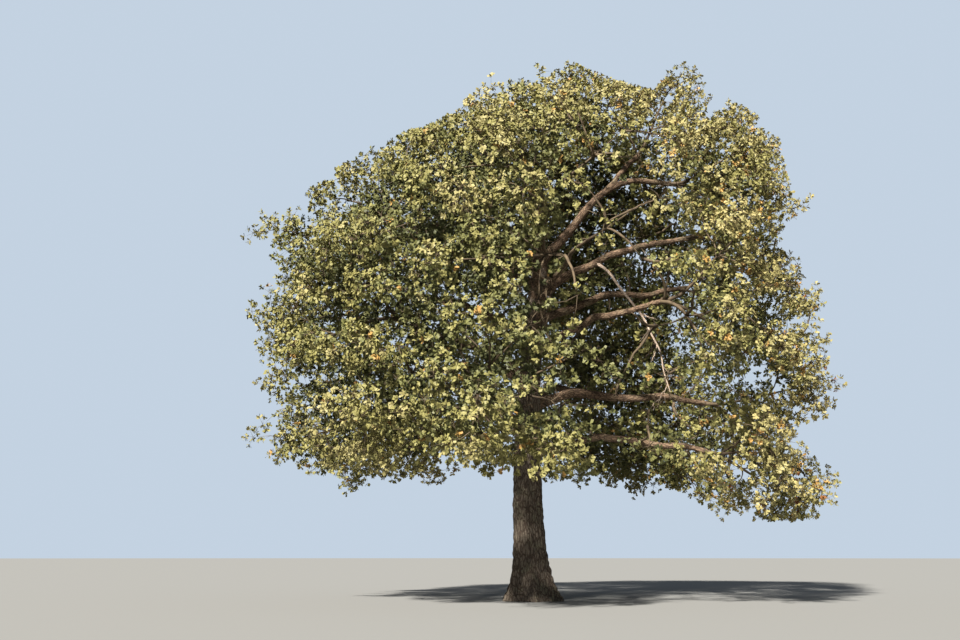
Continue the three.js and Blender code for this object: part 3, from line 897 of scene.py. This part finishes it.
def inside_space(points, mass):
    """True for each point in the mass's own space."""
    off = points - mass["middle"]
    level = np.hypot(off[:, 0], off[:, 1]) / mass["reach"]
    upright = off[:, 2] / (mass["reach"] * MASS_FLATTEN)
    inside = (points[:, 2] >= CROWN_BASE) & (np.hypot(level, upright) <= 1)
    return inside & in_own_cell(points, mass, CELL_GAP)


print(len(capsules), "lengths of limb to keep clear of")

# %% [markdown]
# ## Growing the twigs
#
# The rule is the same at each level. Ends are spread evenly on all sides of a middle, as seeds are in a
# flower head, and pulled in where they would leave the mass's space. Then the end that costs least is
# joined to its nearest fork, and becomes a fork itself. A long way round from the bough costs extra, which
# keeps the twigs from wandering. The first level is the CAD model's own. The next two repeat it round each
# end, smaller each time, and the last ones carry the leaves.

# %% The growing rule
TWIGS_PER_MASS = 5
TWIG_ENDS = (0.52, 0.42, 0.32, 0.22)
GOLDEN_ANGLE = 137.508
FORK_BALANCE = 0.35
STEM_WAY = 0.3
WAY_TESTS = (0.25, 0.5, 0.75, 1)


def even_ways(count, first=0, flatten=1.0):
    """Directions spread evenly on all sides."""
    k = np.arange(count)
    upright = 1 - (2 * k + 1) / count
    level = np.sqrt(1 - upright**2)
    turn = np.radians(GOLDEN_ANGLE * (k + first))
    return np.stack([np.cos(turn) * level, np.sin(turn) * level, upright * flatten], 1)


def join(ends, forks, leads, ways):
    """Joins the ends to forks, the cheapest first. Gives each twig's start, end, lead, way and depth."""
    forks, leads, ways = list(forks), list(leads), list(ways)
    depths = [0] * len(forks)
    costs = np.linalg.norm(ends[:, None] - np.array(forks)[None], axis=2) + FORK_BALANCE * np.array(ways)
    best, which = costs.min(1), costs.argmin(1)
    left = np.ones(len(ends), bool)
    made = []
    for _ in range(len(ends)):
        e = int(np.argmin(np.where(left, best, np.inf)))
        f = which[e]
        left[e] = False
        start, end = forks[f], ends[e]
        span = np.linalg.norm(end - start)
        made.append((start, end, leads[f], ways[f] + span, depths[f]))
        forks.append(end)
        leads.append((end - start) / max(span, 1e-6))
        ways.append(ways[f] + span)
        depths.append(depths[f] + 1)
        fresh = np.linalg.norm(ends - end, axis=1) + FORK_BALANCE * ways[-1]
        closer = left & (fresh < best)
        best[closer], which[closer] = fresh[closer], len(forks) - 1
    return made


def stem_forks(mass):
    """Where twigs fork off a mass's stem: the places, and their leads and ways."""
    steps = range(STEM_STEPS)
    leads = [bezier(mass["curve"], (i + 1) / STEM_STEPS)[1] for i in steps]
    return list(mass["stem"][1:]), leads, [i * mass["reach"] * STEM_WAY for i in steps]


def first_twigs(mass):
    """The twigs of the CAD model."""
    ends = []
    for way in even_ways(TWIGS_PER_MASS, (mass["number"] + 1) * 7, MASS_FLATTEN):
        tries = mass["middle"] + np.outer(TWIG_ENDS, way) * mass["reach"]
        free = inside_space(tries, mass) & clear_of_limbs(tries, mass)
        if free.any():
            ends.append(tries[np.argmax(free)])
    kept = []
    for twig in join(np.array(ends), *stem_forks(mass)):
        samples = twig[0] + np.outer(WAY_TESTS, twig[1] - twig[0])
        if clear_of_limbs(samples, mass).all() and inside_space(samples, mass).all():
            kept.append(twig)
    return kept


for mass in masses:
    mass["twigs"] = first_twigs(mass)
print("first level:", sum(len(mass["twigs"]) for mass in masses), "twigs and", len(masses), "stems")

# %% [markdown]
# ## The open side
#
# On the right of the crown's front the big limbs show between the leaves. The foliage in front of them is
# thin there. A point's sight line, drawn from the camera, crosses the tree's middle plane somewhere: most
# branchlets go whose crossing falls in one of two oval windows, fewer towards its edge, and most sprays
# that would cover a limb itself.

# %% The open side
WINDOWS = (((3.6, 13.0), (2.8, 6.2)), ((4.9, 6.2), (2.6, 1.6)))
WINDOW_THIN = 0.7
WINDOW_FRONT = -1.2
WINDOW_EDGE = (0.75, 1.35)
SHOWN_LIMBS = ("leader_right", "leader_right_upper", "right_high", "right_mid", "right_long", "dead_bough")
LIMB_WIDTH = 0.42
LIMB_THIN = 0.95
LIMB_BEFORE = 0.1
eye = np.array(camera.location)
shown = [lines[name]["points"] for name in SHOWN_LIMBS]
shown += [mass["stem"] for mass in masses if mass["bough"] == "leader_right_upper"]


def crossing(points):
    """Where the sight lines of the points cross the plane y = 0, as x and z."""
    share = -eye[1] / (points[:, 1] - eye[1])
    return (eye + (points - eye) * share[:, None])[:, (0, 2)]


def in_window(points):
    """How far each point is in the window: 1 in the middle, 0 outside, less and less at its edge."""
    seen = crossing(points)
    off = [np.hypot(*((seen - middle) / half).T) for middle, half in WINDOWS]
    inner, outer = WINDOW_EDGE
    return np.clip((outer - np.minimum(*off)) / (outer - inner), 0, 1)


def over_a_limb(points):
    """True for each point that the camera sees in front of one of the shown limbs."""
    seen, covered = crossing(points), np.zeros(len(points), bool)
    for line in shown:
        flat = crossing(line)
        for a, b, y in zip(flat, flat[1:], line[:, 1]):
            share = np.clip(((seen - a) @ (b - a)) / ((b - a) @ (b - a)), 0, 1)
            gap = np.linalg.norm(seen - a - np.outer(share, b - a), axis=1)
            covered |= (gap < LIMB_WIDTH) & (points[:, 1] < y - LIMB_BEFORE)
    return covered


print(len(WINDOWS), "windows,", len(shown), "limbs that show")

# %% [markdown]
# ## Filling the crown
#
# Seen from a step away, the crown is one rounded body with small gaps, and not forty balls. Its outline is
# the tightest hull round all the masses: in each of many directions, the furthest reach of any mass. More
# ends are thrown at random into the outer metres of that body, and each stays that is clear of the limbs
# and not too near another. Three more throws close the crown behind the windows, before the boughs on the
# left, and at the top. The ends join the forks of the mass whose middle is nearest, or its bough itself,
# which so gets side branches. The underside of the crown rises towards the trunk, where it is dark.

# %% Ends that fill the crown
HEART = np.array([0.4, 0.0, 11.0])
HULL_WAYS = 260
HULL_REACH = 0.95
FILL_TRIES = 9000
FILL_DEPTH = (1.2, 4.3)
FILL_REACH = 1.3
FILL_MARGIN = 0.3
FIRST_FORK = 3
UNDERSIDE_RISE = 3.6
UNDERSIDE_FROM = 3
UNDERSIDE_WIDTH = 6
MOSTLY_IN = 0.5
HARDLY_IN = 0.2
ALL = slice(None)

hull_ways = even_ways(HULL_WAYS)
upright = hull_ways[:, 2]
flat = np.hypot(np.sqrt(1 - upright**2), MASS_FLATTEN * upright)
hull_reach = ((middles - HEART) @ hull_ways.T + reaches[:, None] * HULL_REACH * flat).max(0)


def depth_in_crown(points):
    return (hull_reach - (points - HEART) @ hull_ways.T).min(1)


def over_underside(points):
    """True for each point that is not below the crown's underside."""
    from_axis = np.hypot(points[:, 0], points[:, 1])
    out = np.clip(1 - (from_axis - UNDERSIDE_FROM) / UNDERSIDE_WIDTH, 0, 1)
    return points[:, 2] > CROWN_BASE + UNDERSIDE_RISE * out


def in_outer_crown(points):
    to_middles = np.linalg.norm(points[:, None] - middles[None], axis=2)
    near = to_middles.min(1) < FILL_REACH * reaches[to_middles.argmin(1)]
    return near & (depth_in_crown(points) < FILL_DEPTH[1]) & over_underside(points)


def behind_windows(points):
    behind = points[:, 1] > -WINDOW_FRONT
    return (in_window(points) > MOSTLY_IN) & behind & over_underside(points)


def outside_windows(points):
    return in_window(points) < HARDLY_IN


# Each throw: the box's low and high corner, the spacing of the ends, and the test that they have to pass.
THROWS = (
    (cad_low, cad_high, 1.55, in_outer_crown),
    (cad_low, cad_high, 1.0, behind_windows),
    ((-7.5, -9, 5), (0.6, -2, 13), 1.4, over_underside),
    ((-5, -7, 14), (9, 7, 21), 1.3, outside_windows),
)
dice = np.random.default_rng(5)
taken = np.array([m["stem"][-1] for m in masses] + [twig[1] for m in masses for twig in m["twigs"]])
for mass in masses:
    mass["fill"] = []
for low, high, spacing, wanted in THROWS:
    darts = dice.uniform(low, high, (FILL_TRIES, 3))
    good = (depth_in_crown(darts) > FILL_DEPTH[0]) & wanted(darts) & clear_of(darts, FILL_MARGIN, ALL)
    for dart in darts[good]:
        if np.linalg.norm(taken - dart, axis=1).min() > spacing:
            taken = np.concatenate([taken, dart[None]])
            masses[np.linalg.norm(middles - dart, axis=1).argmin()]["fill"].append(dart)

for mass in masses:
    if mass["fill"]:
        line = lines[mass["bough"]]
        forks, leads, ways = stem_forks(mass)
        forks += [twig[1] for twig in mass["twigs"]] + list(line["points"][FIRST_FORK:])
        leads += [unit(twig[1] - twig[0]) for twig in mass["twigs"]]
        leads += [f[0] for f in line["frames"][FIRST_FORK:]]
        ways += [twig[3] for twig in mass["twigs"]] + [0.0] * len(line["points"][FIRST_FORK:])
        mass["fill"] = join(np.array(mass["fill"]), forks, leads, ways)
print("ends that fill the crown:", sum(len(mass["fill"]) for mass in masses))

# %% [markdown]
# ## Branchlets and sprays
#
# The second and third levels take their middles from the ends before them. A new twig starts on the bent
# line of the one that carries it. Each end draws its own distance by chance, so that the foliage fills its
# place instead of coating it. Ends are pulled in until they lie under the skyline: the crown's upper edge as
# it shows from the camera, with two domes and a dip between, given where the sight lines cross the tree's
# middle plane. The heart of an old crown gets too little light, so a third of its sprays are left out. The
# puff that each spray belongs to is kept for its leaves.

# %% Branchlets and spray ends
BRANCHLETS = 9
BRANCHLET_REACH = 1.0
BRANCHLET_FORKS = 3
SPRAYS = 8
SPRAY_REACH = 0.44
SPRAY_FORKS = 2
PULLS = (1.0, 0.8, 0.6, 0.4)
END_SPANS = (0.45, 1.0)
END_SCATTER = 0.18
CELL_OVERLAP = 0.1
BOX_MARGIN = 0.12
RIM = 0.9
HEART_DEPTH = 3.6
HEART_THIN = 0.35
BALL = 1.05
SKYLINE = np.array(
    [
        (-9.4, 15.9), (-7.2, 17.7), (-5.3, 18.7), (-4.1, 19.1), (-2.8, 19.9), (-2.2, 21.1),
        (-1.5, 21.8), (1.0, 22.3), (2.3, 21.9), (3.7, 21.2), (5.5, 20.7), (6.1, 21.8),
        (7.0, 22.1), (8.0, 20.8), (9.2, 19.9), (10.4, 19.1), (10.9, 16.1),
    ]
)


def room_for(points, mass):
    """True for each point where the finer twigs of a mass may end."""
    off = points - mass["middle"]
    ball = np.hypot(np.hypot(off[:, 0], off[:, 1]), off[:, 2] / MASS_FLATTEN) < mass["reach"] * BALL
    inside = ball | ((depth_in_crown(points) > RIM) & over_underside(points))
    seen = crossing(points)
    inside &= seen[:, 1] < np.interp(seen[:, 0], *SKYLINE.T)
    inside &= ((points > np.array(cad_low) + BOX_MARGIN) & (points < np.array(cad_high) - BOX_MARGIN)).all(1)
    inside &= in_own_cell(points, mass, -CELL_OVERLAP) & (points[:, 2] > CROWN_BASE)
    return inside & clear_of_limbs(points, mass)


def spread_ends(middle, reach, count, mass, dice):
    """The ends of the next level round one middle, each pulled in until it is free."""
    ways = even_ways(count, dice.uniform(0, 100), MASS_FLATTEN) + dice.normal(0, END_SCATTER, (count, 3))
    spans = reach * dice.uniform(*END_SPANS, (count, 1))
    ends, waiting = np.empty((0, 3)), np.ones(count, bool)
    for pull in PULLS:
        tries = (middle + ways * spans * pull)[waiting]
        free = room_for(tries, mass)
        ends = np.concatenate([ends, tries[free]])
        waiting[np.flatnonzero(waiting)[free]] = False
        if not waiting.any():
            break
    return ends


def level_from(twigs, reach, count, mass, dice, forks):
    """Grows the next level from forks that lie evenly along each twig of a list."""
    grown = []
    for start, end, lead, *_ in twigs:
        ends = spread_ends(end, reach, count, mass, dice)
        if len(ends):
            path = curved(start[None], lead[None], end[None], forks + 1)[0]
            grown += join(ends, path[1:], [unit(end - start)] * forks, [0.0] * forks)
    return grown


def thinned(twigs, hides, share, dice):
    """Drops a share, by chance, of the twigs whose ends hide something."""
    ends = np.array([twig[1] for twig in twigs])
    drop = dice.uniform(0, 1, len(ends)) < share * hides(ends)
    return [twig for twig, gone in zip(twigs, drop) if not gone]


def before_window(points):
    return in_window(points) * (points[:, 1] < WINDOW_FRONT)


def in_heart(points):
    return depth_in_crown(points) > HEART_DEPTH


branchlets, sprays, spray_mass, spray_clump, spray_middle = [], [], [], [], []
for mass in masses:
    dice = np.random.default_rng(100 + mass["number"])
    stem_end = (mass["stem"][-2], mass["stem"][-1], mass["heading"], 0.0, 0)
    first = [stem_end, *mass["twigs"], *mass["fill"]]
    second = level_from(first, BRANCHLET_REACH, BRANCHLETS, mass, dice, BRANCHLET_FORKS)
    second = thinned(second, before_window, WINDOW_THIN, dice)
    third = level_from(second, SPRAY_REACH, SPRAYS, mass, dice, SPRAY_FORKS)
    third = thinned(third, over_a_limb, LIMB_THIN, dice)
    third = thinned(third, in_heart, HEART_THIN, dice)
    branchlets += second
    sprays += third
    spray_mass += [mass["number"]] * len(third)
    firsts = np.array([twig[1] for twig in first])
    third_ends = np.array([twig[1] for twig in third])
    nearest = np.linalg.norm(third_ends[:, None] - firsts[None], axis=2).argmin(1)
    spray_clump += (nearest + mass["number"] * 1000).tolist()
    spray_middle += list(firsts[nearest])
print("second level:", len(branchlets), "branchlets; third level:", len(sprays), "sprays")

# %% [markdown]
# ## Young bark
#
# Twigs are too thin for ridges. Their bark is smooth, grey brown to olive, with small pale specks. Its
# group reads Object coordinates, because the pattern has no direction along so thin a twig.

# %% Young bark
w, given = new_group("Young bark", Light=color("665844"), Dark=color("3b3127"))
broad = w.noise(given["Place"], scale=3.0, detail=3.0)["Fac"]
specks = w.noise(given["Place"], scale=60.0, detail=2.0)["Fac"]
tone = w.math("ADD", w.math("MULTIPLY", broad, 0.6), w.math("MULTIPLY", specks, 0.4))
w.put_out(
    Color=w.mix(w.ramp(tone, 0.35, 0.65), given["Dark"], given["Light"]),
    Roughness=w.spread(specks, 0.65, 0.9),
    Height=specks,
)
young_bark = surfaced("young bark", w.tree, "object", bump=0.003)
print("young bark:", len(w.tree.nodes), "nodes")

# %% [markdown]
# ## Stems, twigs, branchlets and shoots
#
# Each level is one piece of tubes. The thinner the wood, the fewer corners round it: a shoot is about a
# centimetre thick, and three are enough. The twigs are bent and wiggle a little, and are stouter in the
# windows, where they show. All of them stand for the masses' CAD nodes, together with the leaves.

# %% Stems, twigs, branchlets and shoots
foliage_nodes = [mass["node"] for mass in masses]


def twig_piece(name, paths, radii, sides, closed=True):
    """One piece from many tubes."""
    corners, triangles = tubes(paths, radii, sides, closed)
    obj = array_mesh(name, corners, triangles)
    obj.data.shade_smooth()
    finish_piece(obj, young_bark, "bough_bark", *foliage_nodes)
    print(name, len(paths), "tubes,", len(triangles), "triangles")


def parts_of(twigs):
    """The starts, ends, leads and depths of twigs, as arrays."""
    starts, ends, leads, _, depths = zip(*twigs)
    return np.array(starts), np.array(ends), np.array(leads), np.array(depths)


STEM_STATIONS = 12
STEM_SUNK = 0.06
STEM_FOOT = 0.075
STEM_TAPER = 0.052
TWIG_STATIONS = 7
TWIG_WIGGLE = 0.007
TWIG_LEAST = 0.014
TWIG_PER_METRE = 0.012
TWIG_STOUTEST = 0.06
WINDOW_STOUT = 0.7
BRANCHLET_STATIONS = 3
BRANCHLET_RADIUS = 0.017
SHOOT_RADIUS = 0.008
FORK_TAPER = 0.85
shares = np.linspace(0, 1, STEM_STATIONS)
paths = np.array([[bezier(mass["curve"], t)[0] for t in shares] for mass in masses])
paths[:, 0] -= headings * STEM_SUNK
radii = np.tile(STEM_FOOT - STEM_TAPER * shares, (len(masses), 1))
twig_piece("stems", paths, radii, sides=8)

starts, ends, leads, _ = parts_of([twig for mass in masses for twig in [*mass["twigs"], *mass["fill"]]])
paths = curved(starts, leads, ends, TWIG_STATIONS)
spans = np.linalg.norm(ends - starts, axis=1)
wiggle = np.random.default_rng(3).normal(0, TWIG_WIGGLE, (len(paths), TWIG_STATIONS - 2, 3))
paths[:, 1:-1] += wiggle * spans[:, None, None]
stout = (TWIG_LEAST + TWIG_PER_METRE * spans) * (1 + WINDOW_STOUT * in_window(starts))
stout = np.minimum(stout, TWIG_STOUTEST)
radii = stout[:, None] * np.linspace(1, 0.45, TWIG_STATIONS)
twig_piece("twigs", paths, radii, sides=5)

starts, ends, leads, depths = parts_of(branchlets)
paths = curved(starts, leads, ends, BRANCHLET_STATIONS)
radii = (BRANCHLET_RADIUS * FORK_TAPER**depths)[:, None] * np.linspace(1, 0.5, BRANCHLET_STATIONS)
twig_piece("branchlets", paths, radii, sides=3)

starts, ends, _, depths = parts_of(sprays)
radii = (SHOOT_RADIUS * FORK_TAPER**depths)[:, None] * np.array([[1.0, 0.5]])
twig_piece("shoots", np.stack([starts, ends], 1), radii, sides=3, closed=False)

# %% [markdown]
# ## Leaves
#
# An oak leaf is long, with rounded lobes, widest past its middle, and its two sides are never quite alike.
# Six corners and four faces give that outline: the foot, a lobe, a notch and a wide lobe on one side, the
# tip, and one lobe on the other. Half the leaves are mirrored. The sides are folded up a little, and the
# tip droops. Deep in the crown, where only the mass of them shows, the leaves have four corners. Oak
# carries its leaves in sprays round the ends of its twigs. The leaves of a puff face up and outwards, away
# from its middle, so that it is light above and dark beneath. They are larger than life, so that a
# bearable number closes the crown.

# %% The leaf and the spray
LEAVES_PER_SPRAY = 8
LEAF_LENGTH = (0.12, 0.175)
DEEP_LEAVES = 6
DEEP_GROWTH = 1.15
LEAF = np.array(
    [
        (0, 0, 0),
        (0.32, 0.20, 0.03), (0.48, 0.12, 0.01), (0.74, 0.33, 0.05),
        (1, 0, -0.06),
        (0.58, -0.32, 0.05),
    ]
)
LEAF_FACES = np.array([(0, 5, 2), (0, 2, 1), (5, 3, 2), (5, 4, 3)])
PLAIN_LEAF = (0, 3, 4, 5)
PLAIN_FACES = np.array([(0, 3, 1), (3, 2, 1)])
DEEP = 2.3
LEAF_CONE = (30, 85)
LEAF_DROOP = 0.12
LEAF_SCATTER = 0.28
LEAF_FOOT = 0.1
FACING_UP = 0.3
FACING_FROM_PUFF = 0.6
FACING_FROM_HEART = 0.55
BOX_SLACK = 0.1


def grow_leaves(places, heads, outward, growth, dice):
    """The corners of every leaf: (sprays, leaves, corners, 3). Also says which leaves are right-handed."""
    count = len(places)
    turn = np.radians(GOLDEN_ANGLE) * np.arange(LEAVES_PER_SPRAY) + dice.uniform(0, 6.28, (count, 1))
    cone = np.radians(dice.uniform(*LEAF_CONE, (count, LEAVES_PER_SPRAY)))
    reference = np.where(np.abs(heads[:, 2:]) > 0.9, [1.0, 0, 0], [0, 0, 1.0])
    side = unit(np.cross(heads, reference))
    lift = np.cross(heads, side)
    radial = side[:, None] * np.cos(turn)[..., None] + lift[:, None] * np.sin(turn)[..., None]
    way = heads[:, None] * np.cos(cone)[..., None] + radial * np.sin(cone)[..., None]
    way[..., 2] -= LEAF_DROOP
    way = unit(way)
    facing = outward[:, None] + dice.normal(0, LEAF_SCATTER, way.shape)
    facing = unit(facing - way * (facing * way).sum(-1, keepdims=True))
    hand = np.where(dice.uniform(0, 1, (count, LEAVES_PER_SPRAY, 1)) < 0.5, 1.0, -1.0)
    across = np.cross(facing, way) * hand
    length = dice.uniform(*LEAF_LENGTH, (count, LEAVES_PER_SPRAY, 1, 1)) * growth[:, None, None, None]
    foot = places[:, None] - heads[:, None] * dice.uniform(0, LEAF_FOOT, (count, LEAVES_PER_SPRAY, 1))
    shape = LEAF[:, 0:1] * way[:, :, None] + LEAF[:, 1:2] * across[:, :, None]
    shape = shape + LEAF[:, 2:3] * facing[:, :, None]
    return foot[:, :, None] + shape * length, hand[..., 0] > 0


dice = np.random.default_rng(7)
heads = unit(ends - starts)
depth = depth_in_crown(ends)
deep = depth > DEEP
outward = np.array([0, 0, FACING_UP]) + FACING_FROM_PUFF * unit(ends - np.array(spray_middle))
outward += FACING_FROM_HEART * unit((ends - HEART) * (1, 1, 0.35))
leaf_corners, right_handed = grow_leaves(ends, heads, outward, np.where(deep, DEEP_GROWTH, 1.0), dice)
low, high = np.array(cad_low) - BOX_SLACK, np.array(cad_high) + BOX_SLACK
fits = ((leaf_corners > low) & (leaf_corners < high)).all((2, 3))
fits[deep, DEEP_LEAVES:] = False
print("leaves:", fits.size, "grown,", int((~fits).sum()), "left out deep in the crown or at the box")

# %% [markdown]
# ## Autumn tints
#
# The crown is mostly olive green. Low down and towards the open field, on the +X side, the leaves are
# paler. Near the crown's outside the leaves are made paler still, painted sunlight on its rim, and deep in
# the crown they are made darker, painted shade. Each spray draws one tint: its place sets how pale it is
# likely to be, and chance does the rest, first for the whole mass, then for the puff it belongs to, then for
# the spray itself. A few sprays have turned to ochre or rust.

# %% Dealing out the tints
TINTS = (
    ("deep_green", "484b2c"),
    ("oak_green", "67673d"),
    ("olive_green", "817c4a"),
    ("grey_olive", "91895a"),
    ("straw_green", "9c915f"),
    ("straw", "a69868"),
    ("ochre", "a5834a"),
    ("rust", "8c5f3b"),
)
PALE_START = 0.27
PALE_TO_FIELD = 0.09
PALE_LOW_DOWN = 0.05
# Painted light: leaves near the crown's outside are made paler as if sunlit, and deep ones darker as painted
# shade.
PAINTED_SUNLIT_RIM = 0.15
OUTSIDE_DEPTH = 2.6
PAINTED_DEEP_SHADE = 0.12
MASS_CHANCE = 0.04
PUFF_CHANCE = 0.05
SPRAY_CHANCE = 0.05
OCHRE_BELOW = 0.01
RUST_BELOW = -0.03

mass_dice = dice.normal(0, 1, len(masses))[np.array(spray_mass)]
clump_dice = dice.normal(0, 1, 1000 * len(masses))[np.array(spray_clump)]
spray_dice = dice.normal(0, 1, len(sprays))
towards_field = np.clip((ends[:, 0] - 2) / 9, -0.6, 1)
low_down = np.clip((9 - ends[:, 2]) / 6, 0, 1)
outside = np.clip(1 - depth / OUTSIDE_DEPTH, 0, 1)
# The outside term paints sunlight: leaves near the crown's rim are paler, as if lit. The deep term paints
# shade: leaves in the crown's heart are darker.
pale = PALE_START + PALE_TO_FIELD * towards_field + PALE_LOW_DOWN * low_down + PAINTED_SUNLIT_RIM * outside
pale += MASS_CHANCE * mass_dice + PUFF_CHANCE * clump_dice + SPRAY_CHANCE * spray_dice - PAINTED_DEEP_SHADE * deep
tint = np.clip((pale * len(TINTS)).astype(int), 0, len(TINTS) - 3)
turned = dice.uniform(0, 1, len(sprays)) - 0.05 * np.maximum(towards_field, 0) - 0.01 * low_down
tint[turned < OCHRE_BELOW] = len(TINTS) - 2
tint[turned < RUST_BELOW] = len(TINTS) - 1
print("sprays of each tint:", dict(zip([name for name, _ in TINTS], np.bincount(tint).tolist())))

# %% [markdown]
# ## The leaves' pieces
#
# Each tint is a plain colour that is only mottled a little, so one node group serves them all. The leaves of
# one tint make one piece, or two where one would be too heavy.

# %% The leaves' pieces
PIECE_LIMIT = 190_000
SHADE = 0.78
w, given = new_group("Mottled leaf", Leaf_Color=color("817c4a"), Shade_Color=color("67673d"))
leaf_group = w.tree
mottle = w.noise(given["Place"], scale=9.0, detail=2.0)["Fac"]
w.put_out(
    Color=w.mix(w.ramp(mottle, 0.3, 0.7), given["Shade Color"], given["Leaf Color"]),
    Roughness=w.spread(mottle, 0.42, 0.65),
    Height=w.noise(given["Place"], scale=80.0, detail=2.0)["Fac"],
)

LEAF_KINDS = ((range(6), LEAF_FACES, ~deep), (PLAIN_LEAF, PLAIN_FACES, deep))
per_spray = np.where(deep, DEEP_LEAVES * len(PLAIN_FACES), LEAVES_PER_SPRAY * len(LEAF_FACES))
for number, (name, paint) in enumerate(TINTS):
    full = color(paint)
    shade = [part * SHADE for part in full[:3]] + [1.0]
    material = surfaced(
        name.replace("_", " ") + " leaf", leaf_group, "object", bump=0.002, gloss=0.22,
        Leaf_Color=full, Shade_Color=shade,
    )
    piece = np.cumsum(per_spray * (tint == number)) // PIECE_LIMIT
    for k in range(piece.max() + 1):
        corners, triangles = [], []
        for outline, faces, at_depth in LEAF_KINDS:
            drawn = fits & (at_depth & (tint == number) & (piece == k))[:, None]
            kept = leaf_corners[drawn][:, list(outline)]
            wound = np.where(right_handed[drawn][:, None, None], faces, faces[:, ::-1])
            first = sum(map(len, corners)) + np.arange(len(kept)) * kept.shape[1]
            corners.append(kept.reshape(-1, 3))
            triangles.append((wound + first[:, None, None]).reshape(-1, 3))
        obj = array_mesh(f"leaves_{name}_{k + 1}", np.concatenate(corners), np.concatenate(triangles))
        finish_piece(obj, material, "foliage", *foliage_nodes)
        print(obj.name, triangle_count(obj), "triangles")

# %% [markdown]
# ## Floor and light
#
# The tree stands on a plain pale floor. One warm lamp stands for the sun, above and behind the camera and to
# its left, and the pale surroundings fill the shadows. They look brighter to the camera than the light they
# give. The plain display transform keeps the leaves' colours as they are, where others bleach the sunlit
# ones.

# %% Floor and light
FLOOR_RADIUS = 700
FLOOR_DROP = 0.002
SUN_ENERGY = 12.6
SUN_ANGLE = 3
SUN_FROM = Vector((-0.42, -0.9, 0.72))
FILL_STRENGTH = 0.3
BACKDROP_STRENGTH = 0.92

bpy.ops.object.select_all(action="DESELECT")
place = (0, 0, -FLOOR_DROP)
bpy.ops.mesh.primitive_circle_add(vertices=64, radius=FLOOR_RADIUS, fill_type="NGON", location=place)
floor = bpy.context.object
floor.name = "floor"
paint = bpy.data.materials.new("floor paint")
paint.use_nodes = True
feeds = {"Base Color": color("7e7e7b"), "Roughness": 0.9}
Wiring(paint.node_tree).feed(paint.node_tree.nodes["Principled BSDF"], feeds)
floor.data.materials.append(paint)

sun = bpy.data.objects.new("sun", bpy.data.lights.new("sun", "SUN"))
bpy.context.scene.collection.objects.link(sun)
sun.data.energy = SUN_ENERGY
sun.data.angle = math.radians(SUN_ANGLE)
sun.data.color = (1.0, 0.955, 0.89)
sun.rotation_euler = SUN_FROM.to_track_quat("Z", "Y").to_euler()

world = bpy.data.worlds.new("surroundings")
bpy.context.scene.world = world
world.use_nodes = True
w = Wiring(world.node_tree)
fill = world.node_tree.nodes["Background"]
w.feed(fill, {"Color": color("c6d4e6"), "Strength": FILL_STRENGTH})
backdrop = w.node("Background", {"Color": color("cbdaea"), "Strength": BACKDROP_STRENGTH})
seen = w.node("LightPath").outputs["Is Camera Ray"]
both = w.node("MixShader", {0: seen, 1: fill.outputs[0], 2: backdrop.outputs[0]})
w.feed(world.node_tree.nodes["World Output"], {"Surface": both.outputs[0]})
bpy.context.scene.view_settings.view_transform = "Standard"
bpy.context.scene.view_settings.look = "None"
print("sun:", SUN_ENERGY, "at", SUN_ANGLE, "degrees wide; floor", FLOOR_RADIUS, "m in radius")
